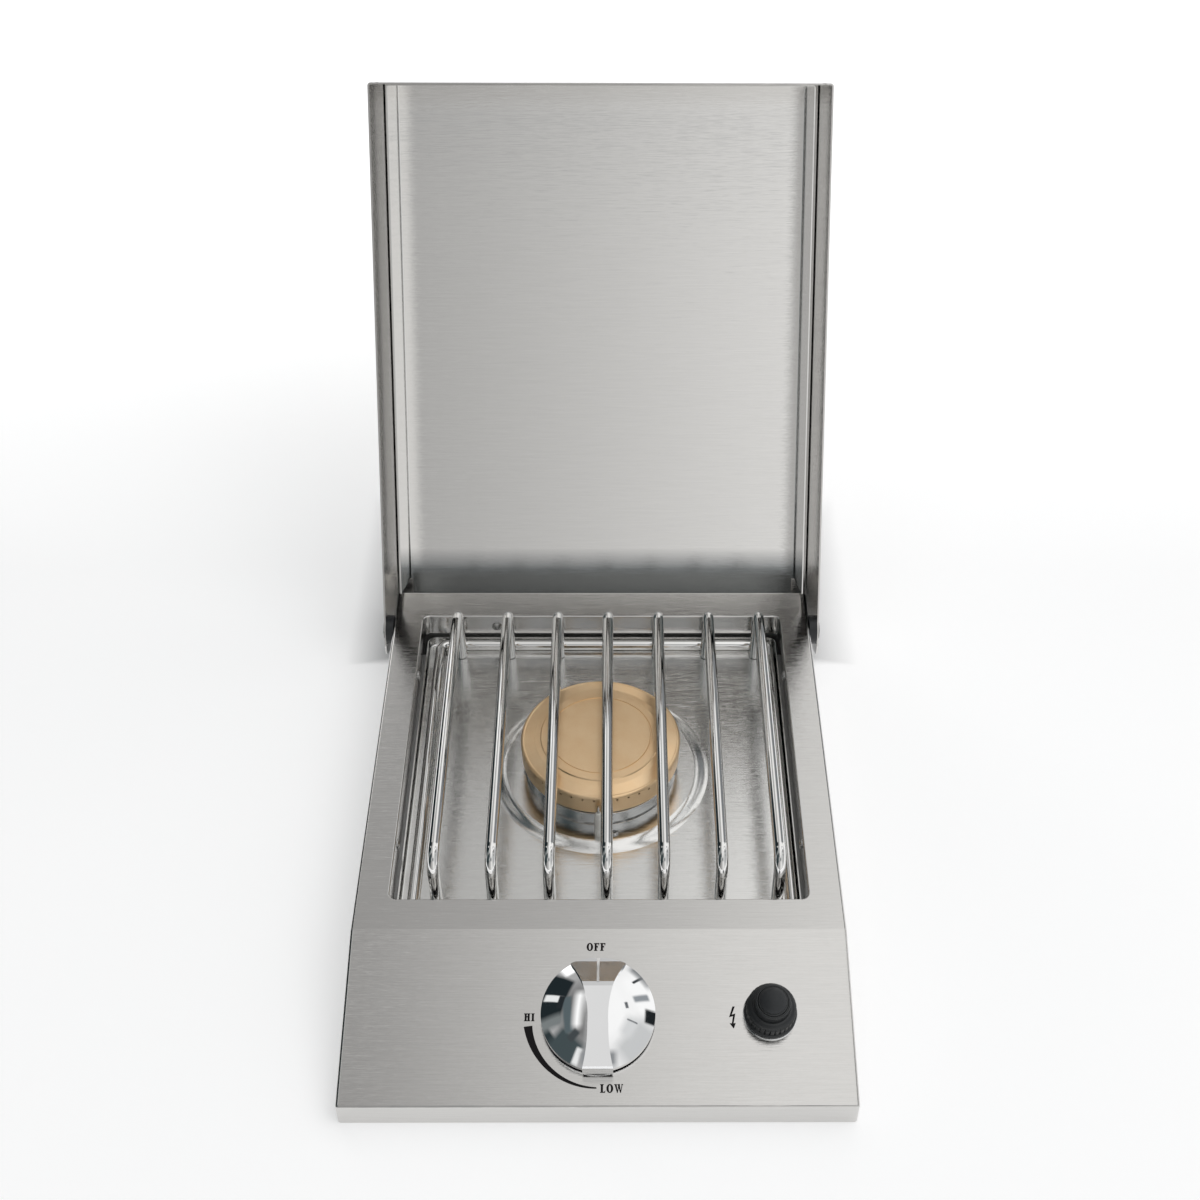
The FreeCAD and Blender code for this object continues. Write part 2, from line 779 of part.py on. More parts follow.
def tube_run(y0, bend_y, z, top, end, radius):
    """Return the straight run, elbow and riser of the tube at one radius."""
    q = TUBE_BEND_R * math.sqrt(0.5)
    path = [
        line((0, y0, z), (0, bend_y, z)),
        arc((0, bend_y, z), (0, bend_y + q, top - q), (0, BURNER_Y, top)),
        line((0, BURNER_Y, top), (0, BURNER_Y, end)),
    ]
    return swept(path, radius)


def bell(front, wall):
    """Return the bell's outer solid, or its hollow when a wall is given."""
    big = BELL_R - wall
    small = TUBE_R if wall == 0 else TUBE_BORE_R
    start = wall
    end = BELL_L + 9
    piece = spun((0, start), (big, start), (big, BELL_L), (small, end - 1), (small, end), (0, end))
    return aimed(piece, (0, front, TUBE_Z), (0, 1, 0))


def air_window(front):
    """Return the cutter for the two side air windows."""
    half = BELL_R * math.sin(math.radians(25))
    return box(-30, 30, front + 4, front + BELL_L - 4, TUBE_Z - half, TUBE_Z + half)


def air_shutter():
    """Return the slotted sleeve that turns to meter the air."""
    front = SHIELD_Y - 10.0 - BELL_L
    start = (0, front + 2, TUBE_Z)
    end = (0, front + BELL_L - 2, TUBE_Z)
    inner = BELL_R + TURN_GAP
    sleeve = tube(start, end, inner + 1.0, inner).cut(air_window(front))
    middle = front + BELL_L / 2
    cuts = []
    for step in range(-56, 7, 2):
        turn = math.radians(step)
        tip = (30 * math.sin(turn), middle, TUBE_Z + 30 * math.cos(turn))
        base = (10 * math.sin(turn), middle, TUBE_Z + 10 * math.cos(turn))
        if step in (-56, 6):
            cuts.append(rod(base, tip, 1.8))
    cuts.append(slot_sector(middle, -56, 6, 1.8))
    return sleeve.cut(side_by_side(cuts[:2])).cut(cuts[2])


def slot_sector(y, low, high, half):
    """Return a wedge about the tube's axis between two angles from upright."""
    points = [Vector(0, y - half, TUBE_Z)]
    for i in range(9):
        turn = math.radians(low + (high - low) * i / 8)
        points.append(Vector(30 * math.sin(turn), y - half, TUBE_Z + 30 * math.cos(turn)))
    face = Part.Face(Part.makePolygon(points + points[:1]))
    return face.extrude(Vector(0, 2 * half, 0))


def shutter_screw():
    """Return the screw that guides the air shutter's slot."""
    y = SHIELD_Y - 10.0 - BELL_L / 2
    top = TUBE_Z + BELL_R + TURN_GAP + 1.0 + TURN_GAP
    screw = pan_head_screw(3.2, 1.8, 1.45, 4.2)
    return moved(screw, 0, y, top)


def tube_bracket():
    """Return the bent foot that carries the mixer tube."""
    y = BURNER_Y - 60.0
    floor = -HOUSING_DEPTH + HOUSING_T
    half = TUBE_R + 3.0
    upright = box(-half, half, y + 10 - BRACKET_T, y + 10, floor, TUBE_Z)
    foot = box(-half, half, y - 10, y + 10, floor, floor + BRACKET_T)
    bracket = upright.fuse(foot).removeSplitter()
    bracket = bracket.cut(rod((0, y + 5, TUBE_Z), (0, y + 15, TUBE_Z), TUBE_R + 0.1))
    return bracket.cut(rod((0, y, floor - 1), (0, y, floor + 3), 2.2))


def bracket_screw():
    """Return the screw that holds the tube's foot on the housing floor."""
    y = BURNER_Y - 60.0
    grip = HOUSING_T + BRACKET_T
    return moved(pan_head_screw(3.8, 2.2, 2.0, grip - 0.1), 0, y, -HOUSING_DEPTH + grip)


# The gas valve, built standing on the panel with heights from its face

def valve_y_at(z):
    """Return the Y of the valve's axis at a height."""
    foot_y = FOLD_Y - KNOB_U * math.cos(SLOPE)
    foot_z = FRAME_H - KNOB_U * math.sin(SLOPE)
    return foot_y + (foot_z - z) * math.tan(SLOPE)


def pipe_axis():
    """Return a point on the manifold pipe's axis below the valve."""
    foot_y = FOLD_Y - KNOB_U * math.cos(SLOPE)
    foot_z = FRAME_H - KNOB_U * math.sin(SLOPE)
    return 0.0, foot_y + PIPE_DEPTH * math.sin(SLOPE), foot_z - PIPE_DEPTH * math.cos(SLOPE)


def orifice_y():
    """Return where the valve's outlet arm ends and the orifice starts."""
    return SHIELD_Y - 10.0 - BELL_L - 8.0


def valve_body():
    """Return the cast valve with its spring chamber, plug bore and outlet arm."""
    top = -SHEET - 2.0
    barrel = rod((0, 0, -60), (0, 0, top), VALVE_R)
    ears = rounded_block(-20, 20, -6.5, 6.5, top - 7, top, 5.0)
    nipple = rod((0, 0, -PIPE_DEPTH + PIPE_R - 1.5), (0, 0, -60), 5.8)
    body = on_panel(fused([barrel, ears, nipple]), 0, KNOB_U)
    y = valve_y_at(TUBE_Z)
    body = body.fuse(rod((0, y, TUBE_Z), (0, orifice_y(), TUBE_Z), 7.2))
    hollow = rod((0, 0, -28), (0, 0, top + 1), CHAMBER_R)
    bore = spun((0, -50.5), (PLUG_R - 0.7, -50.5), (PLUG_R + TURN_GAP, -28), (0, -28))
    feed = rod((0, 0, -PIPE_DEPTH), (0, 0, -50), 3.0)
    body = body.cut(on_panel(fused([hollow, bore, feed]), 0, KNOB_U))
    body = body.cut(rod((0, y, TUBE_Z), (0, orifice_y() + 1, TUBE_Z), 4.0))
    for side in (-1, 1):
        hole = rod((side * 15, 0, top - 9), (side * 15, 0, top + 1), 1.9)
        body = body.cut(on_panel(hole, 0, KNOB_U))
    return body


def valve_bonnet():
    """Return the plate that closes the valve's spring chamber."""
    plate = rounded_block(-20, 20, -9.5, 9.5, -SHEET - 2.0, -SHEET, 5.0)
    plate = plate.cut(rod((0, 0, -5), (0, 0, 1), STEM_R + TURN_GAP))
    for side in (-1, 1):
        plate = plate.cut(rod((side * 15, 0, -5), (side * 15, 0, 1), 2.2))
    return on_panel(plate, 0, KNOB_U)


def valve_screws():
    """Return the two screws that hold the valve under the panel."""
    screw = pan_head_screw(3.6, 2.0, 1.85, 11.0)
    return on_panel(side_by_side([moved(screw, s * 15, 0, 0) for s in (-1, 1)]), 0, KNOB_U)


def valve_stem():
    """Return the D shaped shaft with its collar and driving tongue."""
    shaft = rod((0, 0, -25.5), (0, 0, 13.5), STEM_R)
    flat = box(1.9, 5, -5, 5, -0.5, 14.5)
    collar = rod((0, 0, -16), (0, 0, -12), 5.4)
    tongue = box(-1.2, 1.2, -3.9, 3.9, -36.5, -24)
    tongue = tongue.common(rod((0, 0, -37), (0, 0, -23), 4.2))
    return on_panel(fused([shaft.cut(flat), collar, tongue]), 0, KNOB_U)


def spring_seat():
    """Return the washer that rides with the stem but doesn't turn."""
    washer = tube((0, 0, -17), (0, 0, -16), CHAMBER_R - 0.4, STEM_R + TURN_GAP)
    return on_panel(washer, 0, KNOB_U)


def coil(radius, wire, low, high, turns):
    """Return a spring about the Z axis, its six sided wire as heavy as a round one."""
    climb = high - low - 2 * wire
    helix = Part.makeHelix(climb / turns, climb, radius)
    helix.translate(Vector(0, 0, low + wire))
    along = helix.Edges[0]
    start = along.valueAt(along.FirstParameter)
    heading = along.tangentAt(along.FirstParameter)
    out = Vector(1, 0, 0)
    up = heading.cross(out)
    reach = wire * math.sqrt(math.pi / (3 * math.sin(math.radians(60))))
    corners = []
    for i in range(6):
        turn = math.radians(60 * i + 30)
        corners.append(start + out * (reach * math.cos(turn)) + up * (reach * math.sin(turn)))
    section = Part.makePolygon(corners + corners[:1])
    return Part.Wire(helix.Edges).makePipeShell([section], True, True)


def valve_spring():
    """Return the spring that lifts the stem."""
    return on_panel(coil(CHAMBER_R - 0.9, 0.4, -28, -17, 4), 0, KNOB_U)


def valve_plug():
    """Return the tapered plug that the stem's tongue turns."""
    plug = spun((0, -50), (PLUG_R - 1.0, -50), (PLUG_R, -28.8), (0, -28.8))
    slot = box(-1.5, 1.5, -PLUG_R, PLUG_R, -41, -27)
    slot = slot.common(rod((0, 0, -42), (0, 0, -26), 4.6))
    gas_way = rod((0, 0, -46), (0, 8, -46), 2.0)
    centre = rod((0, 0, -51), (0, 0, -44), 2.4)
    return on_panel(plug.cut(slot).cut(gas_way).cut(centre), 0, KNOB_U)


def orifice():
    """Return the brass nozzle that points into the mixer tube."""
    y = orifice_y()
    nut = hexagon(13.0, 0, 6)
    nose = spun((0, 6), (5.9, 6), (5.9, 12), (4.2, 14), (0, 14))
    shank = rod((0, 0, -7), (0, 0, 0), 3.9)
    body = fused([nut, nose, shank])
    body = body.cut(rod((0, 0, -8), (0, 0, 11), 2.2)).cut(rod((0, 0, 10), (0, 0, 15), 0.7))
    return aimed(body, (0, y, TUBE_Z), (0, 1, 0))


def manifold_pipe():
    """Return the pipe that carries gas from the inlet to the valve."""
    _, y, z = pipe_axis()
    pipe = tube((INLET_X + 6, y, z), (24, y, z), PIPE_R, PIPE_R - 1.6)
    saddle = on_panel(rod((0, 0, -PIPE_DEPTH), (0, 0, -60), 6.0), 0, KNOB_U)
    return pipe.cut(saddle)


def manifold_plug():
    """Return the plug that closes the pipe's far end."""
    _, y, z = pipe_axis()
    plug = hexagon(19.0, 0, 5).fuse(rod((0, 0, -8), (0, 0, 0), PIPE_R - 1.7))
    return aimed(plug, (24, y, z), (1, 0, 0))


def inlet_elbow():
    """Return the cast elbow whose threaded end passes the housing floor."""
    _, y, z = pipe_axis()
    floor = -CONTROL_DEPTH + HOUSING_T
    socket = rod((INLET_X, y, z), (INLET_X + 16, y, z), PIPE_R + 3)
    knuckle = Part.makeSphere(PIPE_R + 3, Vector(INLET_X, y, z))
    drop = rod((INLET_X, y, floor), (INLET_X, y, z), PIPE_R + 3)
    nose = spun(
        (0, 0),
        (INLET_NECK_R, 0),
        (INLET_NECK_R, 6.5),
        (INLET_R, 6.5),
        (INLET_R, 16.0),
        (INLET_R - 2.0, 18.0),
        (0, 18.0),
    )
    nose = aimed(nose, (INLET_X, y, floor), (0, 0, -1))
    body = fused([socket, knuckle, drop, nose])
    body = body.cut(rod((INLET_X + 6, y, z), (INLET_X + 20, y, z), PIPE_R + 0.05))
    body = body.cut(rod((INLET_X, y, z), (INLET_X + 8, y, z), 5.0))
    return body.cut(rod((INLET_X, y, floor - 20), (INLET_X, y, z + 5), 4.2))


def inlet_locknut():
    """Return the nut that clamps the elbow to the housing floor."""
    _, y, _ = pipe_axis()
    nut = hexagon(25.4, 0, 4.5).cut(rod((0, 0, -1), (0, 0, 6), INLET_NECK_R + RUN_FIT))
    return aimed(nut, (INLET_X, y, -CONTROL_DEPTH), (0, 0, -1))


# The knob, built standing on the panel

def knob():
    """Return the domed knob with its waisted grip bar and hollow underside."""
    rim = KNOB_GAP + 4.6
    crown = KNOB_RISE - 3.6
    shell = spun(
        (0, KNOB_GAP),
        (KNOB_R - 0.4, KNOB_GAP),
        (KNOB_R, KNOB_GAP + 0.6),
        (KNOB_R, rim),
        dome(KNOB_R, rim, crown),
    )
    whole = shell.fuse(grip_bar())
    hollow = spun(
        (9.5, KNOB_GAP - 1),
        (KNOB_R - 3.0, KNOB_GAP - 1),
        (KNOB_R - 3.0, rim - 1.4),
        (KNOB_R * 0.62, crown - 6.4, 9.5, crown - 3.6),
    )
    bore = rod((0, 0, 0), (0, 0, 15.2), 6.3)
    return on_panel(whole.cut(hollow).cut(bore), 0, KNOB_U)


def grip_bar():
    """Return the waisted bar, cut from a side outline and a plan outline."""
    r = KNOB_R
    front = -r - 0.8
    side = [
        (front, KNOB_GAP + 0.5),
        (front, KNOB_RISE - 5.0),
        (front + 1.0, KNOB_RISE - 3.8),
        (r - 21.9, KNOB_RISE),
        (r - 18.9, KNOB_RISE - 0.9),
        (r - 2.9, KNOB_GAP + 6.2),
        (r - 0.3, KNOB_GAP + 5.0),
        (r - 0.3, KNOB_GAP + 0.5),
    ]
    bar = prism_x(side, -r, r).common(grip_plan(front))
    crest = [
        (r - 20.4, KNOB_RISE - 3.0),
        (r - 0.8, KNOB_GAP + 2.8),
        (r - 0.8, KNOB_GAP + 7.0),
        (r - 19.4, KNOB_RISE - 0.2),
    ]
    ridge = prism_x(crest, -0.8, 0.8)
    rim = spun((0, KNOB_GAP), (r, KNOB_GAP), (r, 40), (0, 40))
    rear = bar.fuse(ridge).common(rim)
    nose = bar.common(box(-r, r, front - 1, -20, 0, 40))
    return rear.fuse(nose)


def grip_plan(front):
    """Return the bar's plan outline as a tall block, waisted and flared to the rear."""
    tail = 0.542 * KNOB_R
    tail_y = 0.946 * KNOB_R
    waist = 0.181 * KNOB_R
    waist_y = -0.282 * KNOB_R
    nose = 0.271 * KNOB_R
    nose_y = front - 1
    end_y = KNOB_R + 2.6
    flank = (0.243 * KNOB_R, 0.339 * KNOB_R)
    cheek = (0.198 * KNOB_R, -0.65 * KNOB_R)
    edges = [
        arc((-tail, tail_y, 0), (-flank[0], flank[1], 0), (-waist, waist_y, 0)),
        arc((-waist, waist_y, 0), (-cheek[0], cheek[1], 0), (-nose, nose_y, 0)),
        line((-nose, nose_y, 0), (nose, nose_y, 0)),
        arc((nose, nose_y, 0), (cheek[0], cheek[1], 0), (waist, waist_y, 0)),
        arc((waist, waist_y, 0), (flank[0], flank[1], 0), (tail, tail_y, 0)),
        line((tail, tail_y, 0), (tail, end_y, 0)),
        line((tail, end_y, 0), (-tail, end_y, 0)),
        line((-tail, end_y, 0), (-tail, tail_y, 0)),
    ]
    return Part.Face(Part.Wire(edges)).extrude(Vector(0, 0, 40))


def knob_hub():
    """Return the metal insert that grips the stem's flat."""
    hub = rod((0, 0, KNOB_GAP + 0.4), (0, 0, 15.0), 6.2)
    hole = rod((0, 0, 0), (0, 0, 14.0), STEM_R + RUN_FIT)
    hole = hole.cut(box(1.95, 5, -5, 5, 0, 15))
    slit = box(-5.2, -STEM_R - 0.3, -1.5, 1.5, 0, 13.0)
    return on_panel(hub.cut(hole).cut(slit), 0, KNOB_U)


def knob_clip():
    """Return the leaf spring that holds the knob on its stem."""
    leaf = box(-4.2, -STEM_R - 0.35, -1.3, 1.3, KNOB_GAP + 1.2, 12.6)
    return on_panel(leaf, 0, KNOB_U)


# The igniter, built standing on the panel

def igniter_place(shape):
    """Return an igniter piece stood at the igniter's place on the panel."""
    return on_panel(shape, IGNITER_X, IGNITER_U)


def igniter_body():
    """Return the barrel with its collar, button bore and battery bore."""
    body = spun(
        (0, -62),
        (BARREL_R - 1.2, -62),
        (BARREL_R - 1.2, -30),
        (BARREL_R, -28),
        (BARREL_R, -5),
        (BARREL_R + 3, -5),
        (BARREL_R + 3, -SHEET),
        (BARREL_R, -SHEET),
        (BARREL_R, 22.6),
        (BARREL_R - 0.3, 23.6, BARREL_R - 0.9, 24.0),
        (BUTTON_R + TURN_GAP, 24.0),
        (BUTTON_R + TURN_GAP, 19.0),
        (BUTTON_R + 0.9, 19.0),
        (BUTTON_R + 0.9, -2.0),
        (BATTERY_R + 0.3, -2.0),
        (BATTERY_R + 0.3, -4.0 - BATTERY_L - 0.5),
        (0, -4.0 - BATTERY_L - 0.5),
    )
    return igniter_place(body)


def igniter_washer():
    """Return the bright washer between the nut and the panel."""
    bore = BARREL_R + 0.3
    rim = NUT_R + 0.5
    washer = spun((bore, 0), (rim, 0), (rim, 0.8), (rim - 0.4, 1.2), (bore, 1.2))
    return igniter_place(washer)


def igniter_nut():
    """Return the toothed ring nut that holds the igniter in the panel."""
    nut = spun(
        (BARREL_R + 0.1, 1.2),
        (NUT_R, 1.2),
        (NUT_R, 3.6),
        (NUT_R - 1.0, 4.6),
        (NUT_R - 1.0, 12.0),
        (NUT_R - 2.0, 14.4, NUT_R - 4.0, 15.6),
        (BARREL_R + 0.6, 16.4),
        (BARREL_R + 0.1, 16.4),
    )
    grooves = []
    for i in range(30):
        turn = math.radians(12 * i)
        x = (NUT_R - 0.8) * math.cos(turn)
        y = (NUT_R - 0.8) * math.sin(turn)
        cutter = box(-0.6, 0.6, -0.6, 0.6, 5.4, 17.0)
        cutter.rotate(Vector(0, 0, 0), Vector(0, 0, 1), 45 + 12 * i)
        grooves.append(moved(cutter, x, y, 0))
    return igniter_place(nut.cut(side_by_side(grooves)))


def igniter_button():
    """Return the button that is pressed into the barrel."""
    top = BUTTON_TOP - 4.6
    button = spun(
        (0, 11.0),
        (BUTTON_R + 0.6, 11.0),
        (BUTTON_R + 0.6, 13.0),
        (BUTTON_R, 13.2),
        (BUTTON_R, top - 0.8),
        (BUTTON_R - 0.3, top - 0.2, BUTTON_R - 0.9, top),
        (0, top),
    )
    return igniter_place(button.cut(rod((0, 0, 10), (0, 0, 15), 6.9)))


def igniter_boot():
    """Return the rubber dome bonded to the button's face."""
    top = BUTTON_TOP - 4.6
    rim = BUTTON_R - 1.0
    boot = spun((0, top), (rim, top), (rim, top + 0.8), dome(rim, top + 0.8, BUTTON_TOP))
    return igniter_place(boot)


def igniter_spring():
    """Return the spring that returns the button."""
    return igniter_place(coil(6.0, 0.45, -3.0, 14.9, 5))


def battery():
    """Return the dry cell in the barrel."""
    low = -4.0 - BATTERY_L
    cell = spun(
        (0, low),
        (BATTERY_R - 0.4, low),
        (BATTERY_R, low + 0.5),
        (BATTERY_R, low + BATTERY_L - 2.0),
        (BATTERY_R - 0.6, low + BATTERY_L - 1.2),
        (2.7, low + BATTERY_L - 1.2),
        (2.7, low + BATTERY_L),
        (0, low + BATTERY_L),
    )
    return igniter_place(cell)


def battery_contact():
    """Return the contact disc between the cell and the spring."""
    return igniter_place(rod((0, 0, -4.0), (0, 0, -3.0), BATTERY_R - 0.3))


def igniter_terminals():
    """Return the two blade terminals under the barrel."""
    blades = [box(s * 4 - 0.4, s * 4 + 0.4, -3.15, 3.15, -71, -62) for s in (-1, 1)]
    return igniter_place(side_by_side(blades))


# The spark electrode

def electrode_foot():
    """Return the electrode's place on the boss."""
    return ELECTRODE_X, BURNER_Y - ELECTRODE_REACH, BOSS_Z


def electrode_ceramic():
    """Return the ribbed insulator that stands through the pan."""
    x, y, z = electrode_foot()
    post = spun(
        (0.95, -16),
        (2.4, -16),
        (2.9, -15),
        (2.9, -3.6),
        (3.9, -3.4),
        (3.9, -PAN_T - 0.1),
        (2.9, -PAN_T - 0.1),
        (2.9, 17.0),
        (2.2, 20.5),
        (1.7, 21.6, 0.95, 22.0),
    )
    return moved(post, x, y, z)


def electrode_rod():
    """Return the bent spark wire inside the insulator."""
    x, y, z = electrode_foot()
    top = z + 24.6
    gap = ELECTRODE_REACH - CAP_R - 2.0
    path = [
        line((x, y, z - 21), (x, y, top - 1.6)),
        arc((x, y, top - 1.6), (x, y + 0.47, top - 0.47), (x, y + 1.6, top)),
        line((x, y + 1.6, top), (x, y + gap, top)),
    ]
    return swept(path, 0.85)


def electrode_clip():
    """Return the small plate that holds the insulator under the pan."""
    x, y, z = electrode_foot()
    top = z - PAN_T - 3.6
    plate = rounded_block(x - 6, x + 15.5, y - 5.5, y + 5.5, top - 1.2, top, 3.0)
    tab = rounded_block(x + 7.5, x + 15.5, y - 4, y + 4, top, z - PAN_T, 2.0)
    clip = plate.fuse(tab).removeSplitter()
    clip = clip.cut(rod((x, y, top - 3), (x, y, top + 2), 3.0))
    return clip.cut(rod((x + 11, y, top - 3), (x + 11, y, z), 1.3))


def electrode_screw():
    """Return the screw that holds the electrode's clip."""
    x, y, z = electrode_foot()
    return moved(pan_head_screw(2.8, 1.6, 1.25, 6.5), x + 11, y, z)


# The lid, in its own position

def lid_outline():
    """Return the side outline of the lid's outer shell in depth order."""
    return [
        (-LID_SKIN_REAR, -LID_SKIN_B),
        (LID_FRONT_SKIN, -LID_SKIN_B),
        (LID_FRONT_EDGE, LID_EDGE_B),
        (-LID_REAR, LID_EDGE_B),
        (-LID_REAR, LID_EDGE_B - 24.0),
    ]


def lid_shell():
    """Return the folded skin with its side walls, raked front and rear flange."""
    half = LID_W / 2
    t = SHEET
    block = prism_x(lid_outline(), -half, half)
    block = block.makeFillet(BEND_R, edges_where(block, is_lid_fold))
    block = block.makeFillet(9.0, edges_where(block, is_lid_rear_corner))
    rake = LID_RAKE / (LID_SKIN_B + LID_EDGE_B)
    inner_front = LID_FRONT_SKIN - t * math.sqrt(1 + rake * rake)
    inside = [
        (-LID_REAR - 20, -LID_SKIN_B + t),
        (inner_front - rake * t, -LID_SKIN_B + t),
        (inner_front - rake * (LID_SKIN_B + LID_EDGE_B + 5), LID_EDGE_B + 5),
        (-LID_REAR - 20, LID_EDGE_B + 5),
    ]
    hollow = prism_x(inside, -half + t, half - t)
    hollow = hollow.makeFillet(BEND_R - t, edges_where(hollow, is_lid_fold))
    shell = block.cut(hollow)
    inset = half - t / 2
    rear = -LID_SKIN_REAR
    flange = box(-inset, inset, rear, rear + t, -LID_SKIN_B + t / 2, lid_stop_depth())
    shell = shell.fuse(flange).removeSplitter()
    for side in (-1, 1):
        x = side * half
        near = (x - 4, PIVOT_A, PIVOT_B)
        shell = shell.cut(rod(near, (x + 4, PIVOT_A, PIVOT_B), PIVOT_R + RUN_FIT))
        shell = shell.cut(corner_relief(side * (half - 6.6)))
    return on_lid(shell)


def corner_relief(x):
    """Return the cutter for the small relief at one front corner of the lid."""
    front = LID_FRONT_EDGE
    return box(x - 1.2, x + 1.2, front - 8, front + 4, LID_EDGE_B - 3.2, LID_EDGE_B + 1)


def lid_stop_depth():
    """Return how far the rear flange reaches before it meets the frame's rear wall."""
    lean = math.radians(LID_LEAN)
    return (-LID_SKIN_REAR * math.sin(lean) - STOP_GAP) / math.cos(lean)


def is_lid_fold(middle, edge):
    """Tell whether an edge is one of the folds around the lid's skin or front."""
    skin = middle.z < -LID_SKIN_B + SHEET + 0.1 and middle.y > 0
    front = middle.y > LID_FRONT_EDGE - 8 and abs(middle.x) > LID_W / 4
    return (skin or front) and middle.z < LID_EDGE_B - 1


def is_lid_rear_corner(middle, edge):
    """Tell whether an edge is the rounded rear corner of the side walls."""
    across = abs(middle.x) < 1.0 and runs_along(edge, Vector(1, 0, 0))
    return across and abs(middle.y + LID_REAR) < 0.1


def lid_liner():
    """Return the inner panel with its turned sides and front and its rear tongue."""
    half = LINER_W / 2
    t = LINER_T
    rear = 2.0
    rake = LID_RAKE / (LID_SKIN_B + LID_EDGE_B)
    front = LID_FRONT_EDGE + rake * (LID_EDGE_B + LINER_B) - LINER_FRONT_GAP
    edge = front - rake * (LINER_B + LINER_EDGE_B)
    outline = [
        (rear, -LINER_B - t),
        (front, -LINER_B - t),
        (edge, LINER_EDGE_B),
        (rear, LINER_EDGE_B),
    ]
    block = prism_x(outline, -half, half)
    block = block.makeFillet(2.0, edges_where(block, is_liner_fold))
    inside = [
        (rear - 10, -LINER_B),
        (front - t, -LINER_B),
        (edge - t - rake * 5, LINER_EDGE_B + 5),
        (rear - 10, LINER_EDGE_B + 5),
    ]
    hollow = prism_x(inside, -half + t, half - t)
    hollow = hollow.makeFillet(1.2, edges_where(hollow, is_liner_fold))
    tray = block.cut(hollow)
    tongue = box(-half + 3, half - 3, -LINER_REAR, rear + 0.5, -LINER_B - t, -LINER_B)
    return on_lid(tray.fuse(tongue).removeSplitter())


def is_liner_fold(middle, edge):
    """Tell whether an edge is one of the liner's folds."""
    floor = middle.z < -LINER_B + 0.1 and middle.y > 5
    front = middle.y > LID_FRONT_EDGE - 20 and abs(middle.x) > LINER_W / 4
    return (floor or front) and middle.z < LINER_EDGE_B - 1


def lid_stiffeners():
    """Return the three hat sections between the skin and the liner."""
    low = -LID_SKIN_B + SHEET
    high = -LINER_B - LINER_T
    hats = []
    brim = low + 1
    right = [(16, low), (16, brim), (9, brim), (7, high)]
    left = [(-x, z) for x, z in reversed(right)]
    outer = prism_y(right + left, 24, LID_FRONT_EDGE - 24)
    inner = prism_y([(8, low), (6.2, high - 1), (-6.2, high - 1), (-8, low)], 20, LID_FRONT_EDGE)
    hat = outer.cut(inner)
    for x in (-LID_W * 0.3, 0, LID_W * 0.3):
        hats.append(moved(hat, x, 0, 0))
    return on_lid(side_by_side(hats))


def prism_y(points, y0, y1):
    """Return a block whose outline in X and Z runs from y0 to y1."""
    corners = [Vector(x, y0, z) for x, z in points]
    face = Part.Face(Part.makePolygon(corners + corners[:1]))
    return face.extrude(Vector(0, y1 - y0, 0))


def lid_bushes():
    """Return the spacer bushes between the frame and the lid."""
    y, z = pivot_point()
    bushes = []
    for side in (-1, 1):
        near = side * FRAME_W / 2
        far = side * (LID_W / 2 - SHEET - TURN_GAP)
        bushes.append(tube((near, y, z), (far, y, z), BUSH_R, PIVOT_R + RUN_FIT))
    return side_by_side(bushes)


def lid_pivot_screws():
    """Return the two screws on which the lid swings."""
    y, z = pivot_point()
    length = (LID_W - FRAME_W) / 2 + 9.0
    screws = []
    for side in (-1, 1):
        screw = pan_head_screw(6.5, 1.2, PIVOT_R, length)
        screws.append(aimed(screw, (side * (LID_W / 2 + TURN_GAP), y, z), (side, 0, 0)))
    return side_by_side(screws)


def lid_pivot_nuts():
    """Return the nuts inside the frame on the pivot screws."""
    y, z = pivot_point()
    nuts = []
    for side in (-1, 1):
        nut = hexagon(11.0, 0, 5.0).cut(rod((0, 0, -1), (0, 0, 6), PIVOT_R + RUN_FIT))
        nuts.append(aimed(nut, (side * (FRAME_W / 2 - SHEET), y, z), (-side, 0, 0)))
    return side_by_side(nuts)


# The grate

def ring_line():
    """Return the grate ring's centre line limits in X and Y."""
    half = RING_OUTER_W / 2 - ROD_R
    inset = PAN_END_GAP + PAN_T + GRATE_CLEARANCE + ROD_R
    return RING_SHIFT - half, RING_SHIFT + half, WELL_Y0 + inset, WELL_Y1 - inset


def grate_ring():
    """Return the closed rod that lies in the pan."""
    x0, x1, y0, y1 = ring_line()
    z = PAN_Z + ROD_R
    r = RING_CORNER_R
    k = r * (1 - math.sqrt(0.5))
    xm = (x0 + x1) / 2
    path = [
        line((xm, y0, z), (x1 - r, y0, z)),
        arc((x1 - r, y0, z), (x1 - k, y0 + k, z), (x1, y0 + r, z)),
        line((x1, y0 + r, z), (x1, y1 - r, z)),
        arc((x1, y1 - r, z), (x1 - k, y1 - k, z), (x1 - r, y1, z)),
        line((x1 - r, y1, z), (x0 + r, y1, z)),
        arc((x0 + r, y1, z), (x0 + k, y1 - k, z), (x0, y1 - r, z)),
        line((x0, y1 - r, z), (x0, y0 + r, z)),
        arc((x0, y0 + r, z), (x0 + k, y0 + k, z), (x0 + r, y0, z)),
        line((x0 + r, y0, z), (xm, y0, z)),
    ]
    return swept(path, ROD_R)


